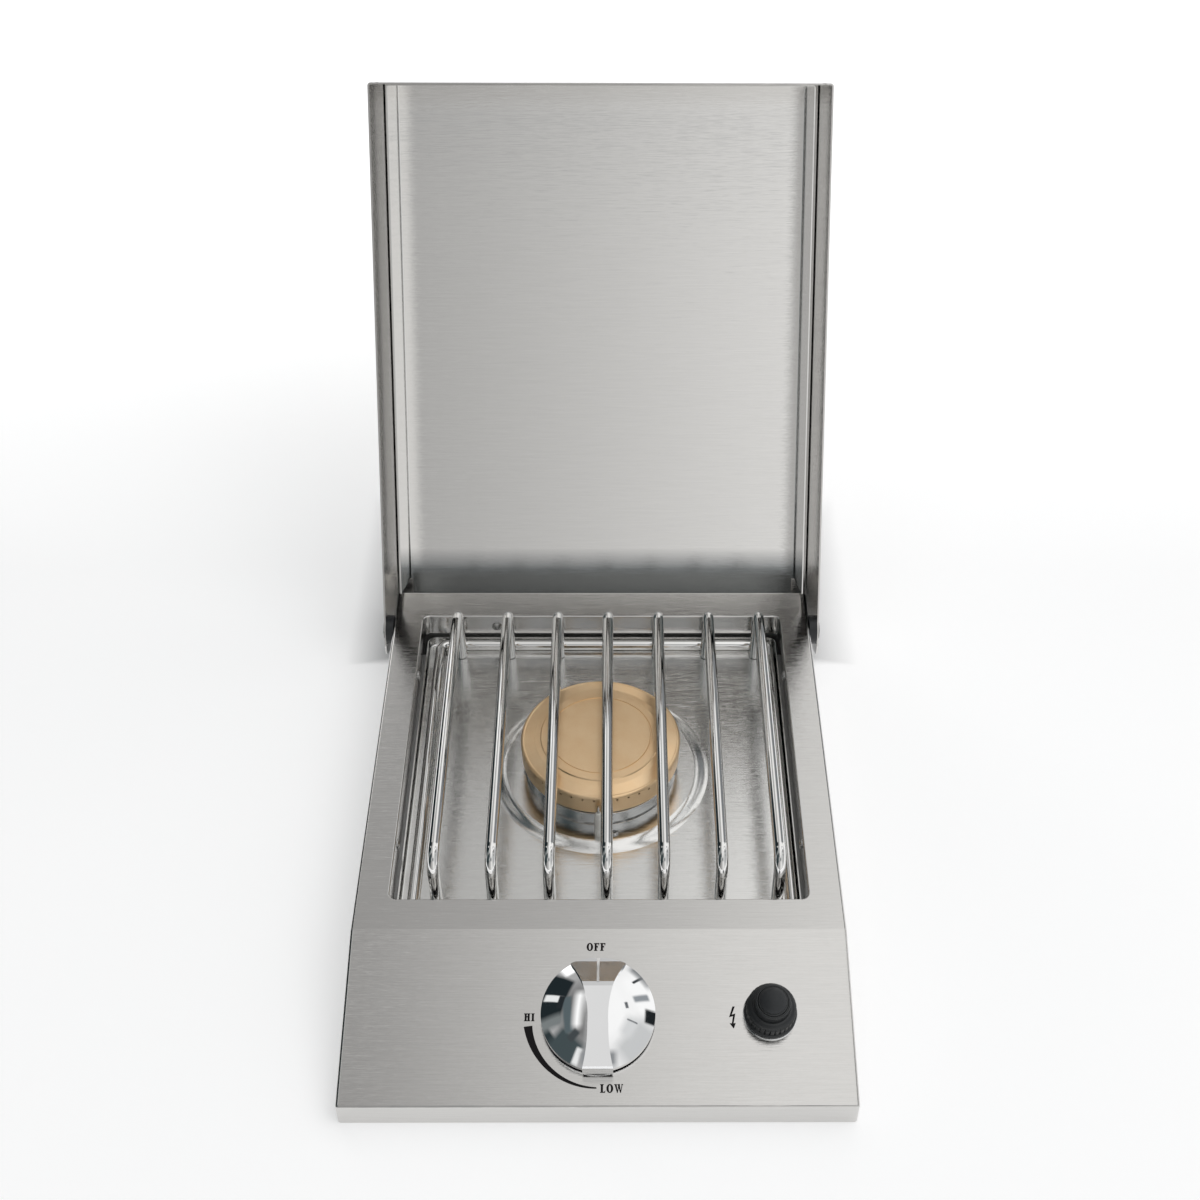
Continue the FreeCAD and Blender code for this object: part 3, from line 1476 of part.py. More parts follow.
def grate_bars():
    """Return the seven bent bars welded inside the ring."""
    _, _, y0, y1 = ring_line()
    y0 = y0 + 2 * ROD_R
    y1 = y1 - 2 * ROD_R
    foot = PAN_Z + LEG_END_GAP
    top = FRAME_H + BAR_TOP - ROD_R
    r = BAR_BEND_R
    k = r * (1 - math.sqrt(0.5))
    bars = []
    for i in range(BAR_COUNT):
        x = BAR_SHIFT + (i - (BAR_COUNT - 1) / 2) * BAR_PITCH
        path = [
            line((x, y0, foot), (x, y0, top - r)),
            arc((x, y0, top - r), (x, y0 + k, top - k), (x, y0 + r, top)),
            line((x, y0 + r, top), (x, y1 - r, top)),
            arc((x, y1 - r, top), (x, y1 - k, top - k), (x, y1, top - r)),
            line((x, y1, top - r), (x, y1, foot)),
        ]
        bars.append(swept(path, ROD_R))
    return side_by_side(bars)


NODES = {
    "top_frame": top_frame,
    "housing": housing,
    "heat_shield": heat_shield,
    "housing_screws": housing_screws,
    "pan_rails": pan_rails,
    "drip_pan": drip_pan,
    "burner_head": burner_head,
    "burner_ring": burner_ring,
    "ring_screws": ring_screws,
    "burner_cap": burner_cap,
    "clamp_ring": clamp_ring,
    "clamp_screws": clamp_screws,
    "mixer_tube": mixer_tube,
    "air_shutter": air_shutter,
    "shutter_screw": shutter_screw,
    "tube_bracket": tube_bracket,
    "bracket_screw": bracket_screw,
    "valve_body": valve_body,
    "valve_bonnet": valve_bonnet,
    "valve_screws": valve_screws,
    "valve_stem": valve_stem,
    "spring_seat": spring_seat,
    "valve_spring": valve_spring,
    "valve_plug": valve_plug,
    "orifice": orifice,
    "manifold_pipe": manifold_pipe,
    "manifold_plug": manifold_plug,
    "inlet_elbow": inlet_elbow,
    "inlet_locknut": inlet_locknut,
    "knob": knob,
    "knob_hub": knob_hub,
    "knob_clip": knob_clip,
    "igniter_body": igniter_body,
    "igniter_washer": igniter_washer,
    "igniter_nut": igniter_nut,
    "igniter_button": igniter_button,
    "igniter_boot": igniter_boot,
    "igniter_spring": igniter_spring,
    "battery": battery,
    "battery_contact": battery_contact,
    "igniter_terminals": igniter_terminals,
    "electrode_ceramic": electrode_ceramic,
    "electrode_rod": electrode_rod,
    "electrode_clip": electrode_clip,
    "electrode_screw": electrode_screw,
    "lid_shell": lid_shell,
    "lid_liner": lid_liner,
    "lid_stiffeners": lid_stiffeners,
    "lid_bushes": lid_bushes,
    "lid_pivot_screws": lid_pivot_screws,
    "lid_pivot_nuts": lid_pivot_nuts,
    "grate_ring": grate_ring,
    "grate_bars": grate_bars,
}


def main():
    """Build every node and write its file."""
    os.makedirs("parts", exist_ok=True)
    for name, build in NODES.items():
        shape = build()
        print(name, round(shape.Volume, 1), shape.isValid(), len(shape.Solids))
        shape.exportStep("parts/" + name + ".step")


main()
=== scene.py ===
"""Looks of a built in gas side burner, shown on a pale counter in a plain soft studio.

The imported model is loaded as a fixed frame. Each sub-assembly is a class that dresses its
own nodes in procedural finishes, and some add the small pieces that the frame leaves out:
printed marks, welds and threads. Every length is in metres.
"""

from __future__ import annotations

import json
import logging
import math
import random
from dataclasses import dataclass, field, replace
from enum import Enum
from typing import Callable, Iterable

import bpy
from mathutils import Matrix, Vector

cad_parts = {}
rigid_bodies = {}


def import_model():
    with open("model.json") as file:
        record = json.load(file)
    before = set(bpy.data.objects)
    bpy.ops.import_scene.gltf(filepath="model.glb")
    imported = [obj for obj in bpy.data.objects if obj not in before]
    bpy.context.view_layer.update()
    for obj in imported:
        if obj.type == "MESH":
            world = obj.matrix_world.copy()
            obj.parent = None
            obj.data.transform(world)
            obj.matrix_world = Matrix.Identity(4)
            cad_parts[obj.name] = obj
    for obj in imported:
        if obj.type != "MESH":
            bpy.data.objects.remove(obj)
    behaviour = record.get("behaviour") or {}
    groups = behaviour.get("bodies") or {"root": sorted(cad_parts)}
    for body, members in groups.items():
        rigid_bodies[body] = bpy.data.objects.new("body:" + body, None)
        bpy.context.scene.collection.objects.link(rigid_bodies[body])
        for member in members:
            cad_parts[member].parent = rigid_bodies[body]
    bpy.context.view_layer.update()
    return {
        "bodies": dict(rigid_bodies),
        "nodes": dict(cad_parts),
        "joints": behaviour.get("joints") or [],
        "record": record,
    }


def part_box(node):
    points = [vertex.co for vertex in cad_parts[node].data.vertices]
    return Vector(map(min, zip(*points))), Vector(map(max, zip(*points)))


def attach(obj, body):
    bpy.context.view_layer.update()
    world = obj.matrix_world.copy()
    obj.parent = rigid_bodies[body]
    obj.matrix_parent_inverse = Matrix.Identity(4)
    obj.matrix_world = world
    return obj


LOG = logging.getLogger("side_burner")
MM = 0.001

Colour = tuple[float, float, float]
Point = tuple[float, float]
Place = tuple[float, float, float]
VECTOR, VALUE = "NodeSocketVector", "NodeSocketFloat"
WHITE = (1.0, 1.0, 1.0, 1.0)


class Body(Enum):
    """The moving and fixed bodies that carry added pieces."""

    BASE = "base"
    GRATE = "grate"


class Slot(Enum):
    """Names of material slots; nothing in the script uses them."""

    ROD = "bright_rod"
    BRASS = "valve_brass"
    BLACK = "igniter_black"


class Word(Enum):
    """The knob's printed words."""

    OFF = "OFF"
    HIGH = "HI"
    LOW = "LOW"


# Node helpers


class Nodes:
    """A short way to add and join shader nodes in one tree."""

    def __init__(self, tree: bpy.types.NodeTree) -> None:
        """Keep the tree.

        Args:
            tree: The material's, group's or world's node tree.
        """
        self.tree = tree

    def add(self, kind: str, **settings: object) -> bpy.types.Node:
        """Add a node.

        Args:
            kind: The node's type name without its ShaderNode prefix.
            **settings: Properties that are set on the node.

        Returns:
            The new node.
        """
        node = self.tree.nodes.new("ShaderNode" + kind)
        for name, value in settings.items():
            setattr(node, name, value)
        return node

    def join(self, source: bpy.types.NodeSocket, target: bpy.types.NodeSocket) -> None:
        """Link an output to an input."""
        self.tree.links.new(source, target)

    def math(self, operation: str, *values: object) -> bpy.types.NodeSocket:
        """Add a Math node.

        Args:
            operation: The operation's name.
            *values: Numbers or output sockets, in order.

        Returns:
            The result socket.
        """
        node = self.add("Math", operation=operation)
        self._fill(node.inputs, values)
        return node.outputs[0]

    def vector(self, operation: str, *values: object) -> bpy.types.NodeSocket:
        """Add a Vector Math node whose result is a vector.

        Args:
            operation: The operation's name.
            *values: Vectors or output sockets, in order.

        Returns:
            The result socket.
        """
        node = self.add("VectorMath", operation=operation)
        self._fill(node.inputs, values)
        return node.outputs[0]

    def parts(self, source: bpy.types.NodeSocket) -> bpy.types.NodeOutputs:
        """Return the X, Y and Z outputs of a vector socket."""
        node = self.add("SeparateXYZ")
        self.join(source, node.inputs[0])
        return node.outputs

    def dot(self, source: bpy.types.NodeSocket, fixed: Vector) -> bpy.types.NodeSocket:
        """Return the dot product of a vector socket and a fixed vector."""
        node = self.add("VectorMath", operation="DOT_PRODUCT")
        self.join(source, node.inputs[0])
        node.inputs[1].default_value = fixed
        return node.outputs["Value"]

    def length(self, source: bpy.types.NodeSocket) -> bpy.types.NodeSocket:
        """Return the length of a vector socket."""
        node = self.add("VectorMath", operation="LENGTH")
        self.join(source, node.inputs[0])
        return node.outputs["Value"]

    def spread(
        self, source: bpy.types.NodeSocket, low: float, high: float, to_low: float = 0.0, to_high: float = 1.0
    ) -> bpy.types.NodeSocket:
        """Map a value from one range to another, held inside the new range.

        Args:
            source: The value's socket.
            low: The start of the old range.
            high: The end of the old range.
            to_low: The start of the new range.
            to_high: The end of the new range.

        Returns:
            The result socket.
        """
        node = self.add("MapRange")
        self.join(source, node.inputs["Value"])
        for name, value in zip(("From Min", "From Max", "To Min", "To Max"), (low, high, to_low, to_high)):
            node.inputs[name].default_value = value
        return node.outputs["Result"]

    def mingle(
        self, first: bpy.types.NodeSocket, second: bpy.types.NodeSocket, share: float
    ) -> bpy.types.NodeSocket:
        """Mix two values.

        Args:
            first: A value's socket.
            second: The other value's socket.
            share: The first value's share.

        Returns:
            The mixed value's socket.
        """
        return self.math("MULTIPLY_ADD", first, share, self.math("MULTIPLY", second, 1.0 - share))

    def effect(self, name: str, **inputs: object) -> bpy.types.NodeOutputs:
        """Place one of the shared effects.

        Args:
            name: The name of the effect's group.
            **inputs: The value or output socket for each of its inputs.

        Returns:
            The effect's outputs.
        """
        node = self.add("Group", node_tree=bpy.data.node_groups[name])
        self._fill([node.inputs[label] for label in inputs], inputs.values())
        return node.outputs

    def ramp(
        self, source: bpy.types.NodeSocket, low: float, high: float, levels: tuple[Point, ...]
    ) -> bpy.types.NodeSocket:
        """Map a value through a grey ramp.

        Args:
            source: The value's socket.
            low: The value at the ramp's start.
            high: The value at the ramp's end.
            levels: Each stop's place in the source's units and its level, in order.

        Returns:
            The level's socket.
        """
        node = self.add("ValToRGB")
        self.join(self.spread(source, low, high), node.inputs[0])
        stops = node.color_ramp.elements
        while len(stops) < len(levels):
            stops.new(0.5)
        for stop, (place, level) in zip(stops, levels):
            stop.position = (place - low) / (high - low)
            stop.color = (level, level, level, 1.0)
        return node.outputs[0]

    def blend(self, factor: bpy.types.NodeSocket, first: object, second: object) -> bpy.types.NodeSocket:
        """Mix two colours.

        Args:
            factor: The share of the second colour.
            first: A colour or an output socket.
            second: A colour or an output socket.

        Returns:
            The mixed colour's socket.
        """
        node = self.add("Mix", data_type="RGBA")
        self.join(factor, node.inputs["Factor"])
        for socket, value in ((node.inputs[6], first), (node.inputs[7], second)):
            if isinstance(value, bpy.types.NodeSocket):
                self.join(value, socket)
            else:
                socket.default_value = (*value, 1.0)
        return node.outputs[2]

    def noise(self, vector: bpy.types.NodeSocket, scale: float, detail: float = 2.0) -> bpy.types.NodeSocket:
        """Add a noise texture.

        Args:
            vector: Where the noise is read.
            scale: Its scale.
            detail: How many finer layers it has.

        Returns:
            The noise value's socket.
        """
        node = self.add("TexNoise")
        node.inputs["Scale"].default_value = scale
        node.inputs["Detail"].default_value = detail
        self.join(vector, node.inputs["Vector"])
        return node.outputs[0]

    def bump(self, height: bpy.types.NodeSocket, depth: float) -> bpy.types.NodeSocket:
        """Add a bump node.

        Args:
            height: The height's socket, 0 to 1.
            depth: The relief's depth.

        Returns:
            The normal's socket.
        """
        node = self.add("Bump")
        node.inputs["Strength"].default_value = 1.0
        node.inputs["Distance"].default_value = depth
        self.join(height, node.inputs["Height"])
        return node.outputs[0]

    def _fill(self, sockets: Iterable[bpy.types.NodeSocket], values: Iterable[object]) -> None:
        """Set or link each socket in order."""
        for socket, value in zip(sockets, values):
            if isinstance(value, bpy.types.NodeSocket):
                self.join(value, socket)
            else:
                socket.default_value = value


def new_group(
    name: str, takes: dict[str, str], gives: tuple[str, ...]
) -> tuple[Nodes, bpy.types.NodeOutputs, bpy.types.NodeInputs]:
    """Start a shader node group with named sockets.

    Args:
        name: The group's name.
        takes: Its inputs, each a name and a socket type.
        gives: The names of its outputs, which are all single values.

    Returns:
        A helper that adds nodes to the group, what comes in and what goes out.
    """
    tree = bpy.data.node_groups.new(name, "ShaderNodeTree")
    for label, kind in takes.items():
        tree.interface.new_socket(name=label, in_out="INPUT", socket_type=kind)
    for label in gives:
        tree.interface.new_socket(name=label, in_out="OUTPUT", socket_type=VALUE)
    return Nodes(tree), tree.nodes.new("NodeGroupInput").outputs, tree.nodes.new("NodeGroupOutput").inputs


def brushed_group() -> None:
    """Make the effect of long brush marks, which run along X and straight down on walls that face along X."""
    takes = {"Position": VECTOR, "Normal": VECTOR, "Along": VALUE, "Across": VALUE}
    n, given, result = new_group("brush_marks", takes, ("Mark", "Streak"))
    side = n.math("GREATER_THAN", n.math("ABSOLUTE", n.parts(given["Normal"])[0]), 0.6)
    x, y, z = n.parts(given["Position"])
    turned = n.add("CombineXYZ")
    stretch = n.add("CombineXYZ")
    for index, (place, scale) in enumerate(((z, "Along"), (y, "Across"), (x, "Across"))):
        n.join(place, turned.inputs[index])
        n.join(given[scale], stretch.inputs[index])
    chosen = n.add("Mix", data_type="VECTOR")
    n.join(side, chosen.inputs["Factor"])
    n.join(given["Position"], chosen.inputs[4])
    n.join(turned.outputs[0], chosen.inputs[5])
    laid = n.vector("MULTIPLY", chosen.outputs[1], stretch.outputs[0])
    n.join(n.noise(laid, 1.0, 3.0), result["Mark"])
    n.join(n.noise(n.vector("MULTIPLY", laid, (0.6, 0.3, 0.3)), 1.0, 3.0), result["Streak"])


def handling_group() -> None:
    """Make the effect of soft uneven patches and fine specks from wiping and handling."""
    n, given, result = new_group("handling", {"Position": VECTOR, "Scale": VALUE}, ("Patch", "Speck"))
    scaled = n.add("VectorMath", operation="SCALE")
    n.join(given["Position"], scaled.inputs[0])
    n.join(given["Scale"], scaled.inputs["Scale"])
    n.join(n.noise(scaled.outputs[0], 1.0, 4.0), result["Patch"])
    n.join(n.noise(scaled.outputs[0], 60.0, 1.0), result["Speck"])


def lathe_group() -> None:
    """Make the effect of tool marks in rings about an upright axis."""
    takes = {"Position": VECTOR, "Centre": VECTOR, "Pitch": VALUE}
    n, given, result = new_group("lathe_marks", takes, ("Ring",))
    off = n.vector("SUBTRACT", given["Position"], given["Centre"])
    flat = n.vector("MULTIPLY", off, (1.0, 1.0, 0.0))
    ring = n.add("TexNoise", noise_dimensions="1D")
    ring.inputs["Scale"].default_value = 1.0
    n.join(n.math("MULTIPLY", n.length(flat), given["Pitch"]), ring.inputs["W"])
    n.join(ring.outputs[0], result["Ring"])


# Finishes


@dataclass(frozen=True)
class Finish:
    """One finish of the object.

    Attributes:
        name: The material's name.
        colour: The main colour.
        second: The colour that it varies towards.
        metallic: 1 for bare metal.
        roughness: The least and the greatest roughness.
        relief: The depth of its fine relief.
        scale: The scale of its pattern.
        coat: The weight of a clear coat.
        specular: How strongly a bare surface that isn't metal shines.
    """

    name: str
    colour: Colour
    second: Colour
    metallic: float
    roughness: Point
    relief: float = 0.0
    scale: float = 100.0
    coat: float = 0.0
    specular: float = 0.5

    def build(self) -> bpy.types.Material:
        """Make the material, or return it if it is made already."""
        made = bpy.data.materials.get("look_" + self.name)
        if made is not None:
            return made
        material = bpy.data.materials.new("look_" + self.name)
        material.use_nodes = True
        nodes = Nodes(material.node_tree)
        shader = material.node_tree.nodes["Principled BSDF"]
        shader.inputs["Metallic"].default_value = self.metallic
        shader.inputs["Coat Weight"].default_value = self.coat
        shader.inputs["Specular IOR Level"].default_value = self.specular
        self.pattern(nodes, shader)
        material.diffuse_color = (*self.colour, 1.0)
        return material

    def pattern(self, n: Nodes, shader: bpy.types.Node) -> None:
        """Join the finish's pattern to its shader.

        Args:
            n: The material's node helper.
            shader: The material's Principled node.
        """
        place = n.add("TexCoord").outputs["Object"]
        handled = n.effect("handling", Position=place, Scale=self.scale)
        n.join(n.blend(handled["Patch"], self.colour, self.second), shader.inputs["Base Color"])
        self.set_roughness(n, handled["Patch"], shader)
        n.join(n.bump(handled["Speck"], self.relief), shader.inputs["Normal"])

    def set_roughness(self, n: Nodes, source: bpy.types.NodeSocket, shader: bpy.types.Node) -> None:
        """Spread a value over the finish's range of roughness."""
        n.join(n.spread(source, 0.3, 0.7, *self.roughness), shader.inputs["Roughness"])


@dataclass(frozen=True)
class BrushedSheet(Finish):
    """Sheet steel with long brush marks.

    Attributes:
        along: The marks' scale along their length.
        across: The marks' scale across.
        lean: How far the sheet is turned about X, in degrees.
        foot: The heights between which a painted shade at the sheet's foot fades out, or None.
        painted_shade_colour: The painted shade's colour.
    """

    along: float = 45.0
    across: float = 4000.0
    lean: float = 0.0
    foot: Point | None = None
    painted_shade_colour: Colour = (0.26, 0.275, 0.28)

    def pattern(self, n: Nodes, shader: bpy.types.Node) -> None:
        """Join the brush marks, wiping patches and any painted shade at the foot to the shader."""
        coords = n.add("TexCoord").outputs
        turned = n.add("VectorRotate", rotation_type="X_AXIS")
        turned.inputs["Angle"].default_value = math.radians(self.lean)
        n.join(coords["Object"], turned.inputs["Vector"])
        marks = n.effect(
            "brush_marks", Position=turned.outputs[0], Normal=coords["Normal"], Along=self.along,
            Across=self.across,
        )
        handled = n.effect("handling", Position=coords["Object"], Scale=self.scale)
        share = n.spread(n.mingle(marks["Mark"], marks["Streak"], 0.55), 0.3, 0.7)
        colour = n.blend(share, self.colour, self.second)
        # Painted shade: the base colour darkens towards the sheet's foot, where the gap behind the frame lies
        # in shade.
        if self.foot is not None:
            painted_shade_share = n.spread(n.parts(coords["Object"])[2], *self.foot, 1.0, 0.0)
            colour = n.blend(painted_shade_share, colour, self.painted_shade_colour)
        n.join(colour, shader.inputs["Base Color"])
        self.set_roughness(n, n.mingle(handled["Patch"], marks["Streak"], 0.7), shader)
        n.join(n.bump(marks["Mark"], self.relief), shader.inputs["Normal"])


@dataclass(frozen=True)
class TurnedMetal(Finish):
    """Metal turned on a lathe, with fine rings and a grainy skin.

    Attributes:
        centre: The middle of the rings in X and Y.
        pitch: The rings' scale.
    """

    centre: Point = (0.0, 0.0)
    pitch: float = 1500.0

    def pattern(self, n: Nodes, shader: bpy.types.Node) -> None:
        """Join the rings, grain and patches to the shader."""
        place = n.add("TexCoord").outputs["Object"]
        rings = n.effect("lathe_marks", Position=place, Centre=(*self.centre, 0.0), Pitch=self.pitch)
        handled = n.effect("handling", Position=place, Scale=self.scale)
        share = n.spread(n.mingle(handled["Speck"], handled["Patch"], 0.5), 0.32, 0.68)
        n.join(n.blend(share, self.colour, self.second), shader.inputs["Base Color"])
        self.set_roughness(n, handled["Patch"], shader)
        n.join(n.bump(n.mingle(rings["Ring"], handled["Speck"], 0.6), self.relief), shader.inputs["Normal"])


@dataclass(frozen=True)
class DrawnRod(Finish):
    """Polished rod with faint marks along its length.

    Attributes:
        stretch: The marks' scale along X, Y and Z.
    """

    stretch: Place = (900.0, 12.0, 900.0)

    def pattern(self, n: Nodes, shader: bpy.types.Node) -> None:
        """Join the drawn marks and patches to the shader."""
        place = n.add("TexCoord").outputs["Object"]
        marks = n.noise(n.vector("MULTIPLY", place, self.stretch), 1.0, 2.0)
        handled = n.effect("handling", Position=place, Scale=self.scale)
        n.join(n.blend(handled["Patch"], self.colour, self.second), shader.inputs["Base Color"])
        self.set_roughness(n, n.mingle(marks, handled["Patch"], 0.5), shader)
        n.join(n.bump(marks, self.relief), shader.inputs["Normal"])


class Palette:
    """Every finish of the object."""

    SATIN = BrushedSheet(
        "satin_steel", (0.635, 0.625, 0.61), (0.685, 0.675, 0.66), 1.0, (0.03, 0.06), 3.8e-5, 9.0,
    )
    LID = replace(SATIN, name="satin_lid", lean=-60.0)
    # The liner's colour is darkened below 35 mm and fades out by 50 mm: painted shade where it sits low
    # behind the frame's rear wall.
    LINER = replace(
        LID, name="satin_liner", colour=(0.81, 0.80, 0.785), second=(0.86, 0.85, 0.835), relief=4.2e-5,
        foot=(0.035, 0.050),
    )
    PAN = BrushedSheet("satin_pan", (0.78, 0.775, 0.76), (0.84, 0.835, 0.82), 1.0, (0.05, 0.10), 5.0e-5, 9.0)
    SHEET = BrushedSheet("mill_sheet", (0.47, 0.47, 0.465), (0.58, 0.58, 0.575), 1.0, (0.34, 0.5), 2e-5, 14.0)
    ROD = DrawnRod("polished_rod", (0.80, 0.795, 0.785), (0.88, 0.875, 0.865), 1.0, (0.03, 0.09), 1e-6, 60.0)
    RING_ROD = replace(ROD, name="polished_ring_rod", relief=4e-6, stretch=(200.0, 200.0, 900.0))
    RING = DrawnRod(
        "polished_ring", (0.62, 0.63, 0.63), (0.72, 0.72, 0.72), 1.0, (0.1, 0.22), 4e-6, 80.0,
        stretch=(40.0, 40.0, 2500.0),
    )
    SCREW = Finish("screw_steel", (0.42, 0.42, 0.415), (0.55, 0.55, 0.54), 1.0, (0.22, 0.38), 6e-6, 300.0)
    WIRE = Finish("spring_wire", (0.36, 0.36, 0.37), (0.48, 0.48, 0.49), 1.0, (0.25, 0.4), 4e-6, 300.0)
    BRASS_CAP = TurnedMetal(
        "turned_brass", (0.90, 0.61, 0.34), (1.0, 0.76, 0.49), 1.0, (0.28, 0.40), 4.5e-5, 70.0,
        centre=(0.0, 0.25978), pitch=1400.0,
    )
    CAST = Finish("cast_metal", (0.42, 0.43, 0.44), (0.52, 0.53, 0.54), 1.0, (0.45, 0.62), 8e-5, 40.0)
    BRASS = TurnedMetal("valve_brass", (0.62, 0.46, 0.21), (0.70, 0.53, 0.27), 1.0, (0.26, 0.42), 1e-5, 60.0)
    PIPE = Finish("pipe_steel", (0.36, 0.36, 0.355), (0.45, 0.45, 0.44), 1.0, (0.35, 0.5), 1e-5, 50.0)
    STEM = Finish("stem_steel", (0.50, 0.50, 0.49), (0.58, 0.58, 0.57), 1.0, (0.18, 0.3), 4e-6, 90.0)
    CHROME = Finish("bright_chrome", (0.90, 0.90, 0.91), (0.94, 0.945, 0.95), 1.0, (0.02, 0.05), 1e-6, 30.0)
    BLACK = Finish(
        "black_moulding", (0.012, 0.0135, 0.015), (0.022, 0.024, 0.026), 0.0, (0.32, 0.5), 2.5e-5, 55.0,
    )
    RUBBER = Finish("black_rubber", (0.016, 0.018, 0.02), (0.030, 0.032, 0.035), 0.0, (0.5, 0.68), 4e-5, 70.0)
    JACKET = Finish("cell_jacket", (0.05, 0.09, 0.18), (0.07, 0.12, 0.22), 0.0, (0.2, 0.3), 2e-6, 80.0, 0.4)
    TIN = Finish("tinned_wire", (0.50, 0.50, 0.49), (0.62, 0.62, 0.61), 1.0, (0.2, 0.34), 4e-6, 120.0)
    CERAMIC = Finish(
        "white_ceramic", (0.78, 0.76, 0.71), (0.86, 0.85, 0.82), 0.0, (0.18, 0.32), 1e-5, 80.0, 0.5,
    )
    INK = Finish(
        "black_print", (0.008, 0.007, 0.008), (0.016, 0.014, 0.015), 0.0, (0.5, 0.7), 4e-6, 300.0,
        specular=0.12,
    )
    WELD = Finish("weld_metal", (0.40, 0.385, 0.36), (0.56, 0.54, 0.50), 1.0, (0.25, 0.45), 3e-5, 260.0)


# Mesh helpers


def clear_selection() -> None:
    """Leave edit mode and deselect everything."""
    if bpy.context.object is not None and bpy.context.object.mode != "OBJECT":
        bpy.ops.object.mode_set(mode="OBJECT")
    bpy.ops.object.select_all(action="DESELECT")


def choose(piece: bpy.types.Object) -> None:
    """Select one piece alone and make it active."""
    clear_selection()
    piece.select_set(True)
    bpy.context.view_layer.objects.active = piece


def settle(piece: bpy.types.Object, place: Matrix) -> None:
    """Move a piece's mesh to its place and leave its object at the origin.

    Args:
        piece: The finished piece, made about the origin.
        place: Where it goes.
    """
    choose(piece)
    piece.matrix_world = place @ piece.matrix_world
    bpy.ops.object.transform_apply(location=True, rotation=True, scale=True)


def enter(piece: bpy.types.Object) -> None:
    """Leave a piece active with none of its mesh selected."""
    choose(piece)
    bpy.ops.object.mode_set(mode="EDIT")
    bpy.ops.mesh.select_all(action="DESELECT")
    bpy.ops.object.mode_set(mode="OBJECT")


def pick_faces(piece: bpy.types.Object, test: Callable[[bpy.types.MeshPolygon], bool]) -> None:
    """Open a piece in edit mode with the faces selected that pass a test.

    Args:
        piece: The piece.
        test: Tells from a face whether it is selected.
    """
    enter(piece)
    for face in piece.data.polygons:
        face.select = test(face)
    bpy.ops.object.mode_set(mode="EDIT")
    bpy.ops.mesh.select_mode(type="FACE")


def apply_modifier(piece: bpy.types.Object, kind: str, **settings: object) -> None:
    """Add a modifier and apply it.

    Args:
        piece: The piece.
        kind: The modifier's type.
        **settings: Its properties.
    """
    choose(piece)
    modifier = piece.modifiers.new(kind.lower(), kind)
    for name, value in settings.items():
        setattr(modifier, name, value)
    bpy.ops.object.modifier_apply(modifier=modifier.name)


def hand_over(piece: bpy.types.Object, name: str, finish: Finish, body: Body) -> None:
    """Name a piece, give it its finish and let it ride on its body.

    Args:
        piece: The finished piece.
        name: Its name.
        finish: Its finish.
        body: The body that carries it.
    """
    piece.name = name
    piece.data.name = name
    piece.data.materials.clear()
    piece.data.materials.append(finish.build())
    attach(piece, body.value)
    LOG.info("piece %s rides on %s with %d faces", name, body.value, len(piece.data.polygons))


def close_and_turn_out(piece: bpy.types.Object) -> None:
    """Close a piece's open ends and turn its normals outward."""
    enter(piece)
    bpy.ops.object.mode_set(mode="EDIT")
    bpy.ops.mesh.select_all(action="SELECT")
    bpy.ops.mesh.fill_holes(sides=0)
    bpy.ops.mesh.select_all(action="SELECT")
    bpy.ops.mesh.normals_make_consistent(inside=False)
    bpy.ops.object.mode_set(mode="OBJECT")


def copy_of(piece: bpy.types.Object) -> bpy.types.Object:
    """Return a copy of a piece with its own mesh."""
    twin = piece.copy()
    twin.data = piece.data.copy()
    bpy.context.scene.collection.objects.link(twin)
    return twin


def dress(frame: dict, finish: Finish, *names: str) -> None:
    """Give nodes a finish.

    Args:
        frame: The loaded frame.
        finish: The finish.
        *names: The nodes' names.
    """
    for name in names:
        node = frame["nodes"][name]
        node.data.materials.clear()
        node.data.materials.append(finish.build())
        LOG.info("node %s has finish %s", name, finish.name)


def flat_outline(piece: bpy.types.Object | None, outline: list[Point]) -> bpy.types.Object:
    """Add a flat face with a given outline, on its own or to a piece.

    Args:
        piece: The piece that gets the face, or None for a new one.
        outline: The corners in order.

    Returns:
        The piece.
    """
    if piece is None:
        clear_selection()
    else:
        enter(piece)
        bpy.ops.object.mode_set(mode="EDIT")
    bpy.ops.mesh.primitive_circle_add(vertices=len(outline), radius=1.0, fill_type="NGON")
    if piece is None:
        piece = bpy.context.object
    else:
        bpy.ops.object.mode_set(mode="OBJECT")
    first = len(piece.data.vertices) - len(outline)
    for index, (x, y) in enumerate(outline):
        piece.data.vertices[first + index].co = (x, y, 0.0)
    piece.data.update()
    return piece


@dataclass(frozen=True)
class Panel:
    """The sloping panel's own axes, from the knob's joint.

    Attributes:
        foot: Where the knob's axis meets the panel.
        normal: The way that the panel faces.
    """

    foot: Vector
    normal: Vector

    def at(self, right: float, up: float, out: float = 0.0) -> Matrix:
        """Return the place whose Z axis leaves the panel and whose Y axis points up the slope.

        Args:
            right: The distance to the right of the knob.
            up: The distance up the slope from the knob.
            out: The distance out of the panel.

        Returns:
            The place as a matrix.
        """
        across = Vector((1.0, 0.0, 0.0))
        rise = self.normal.cross(across)
        spot = self.foot + across * right + rise * up + self.normal * out
        turned = Matrix((across, rise, self.normal)).transposed().to_4x4()
        return Matrix.Translation(spot) @ turned


# Printed marks


@dataclass(frozen=True)
class SerifLetter:
    """A capital letter with thick and thin strokes, one unit tall.

    Attributes:
        width: The letter's width.
        strokes: Each stroke's corners.
        ring: Whether the letter is a round O.
    """

    width: float
    strokes: tuple[tuple[Point, ...], ...] = ()
    ring: bool = False


# The widths of strokes and of their feet, in letter heights
THICK = 0.26
THIN = 0.13
FOOT = 0.085


def block(x0: float, y0: float, x1: float, y1: float) -> tuple[Point, ...]:
    """Return a stroke's four corners."""
    return ((x0, y0), (x1, y0), (x1, y1), (x0, y1))


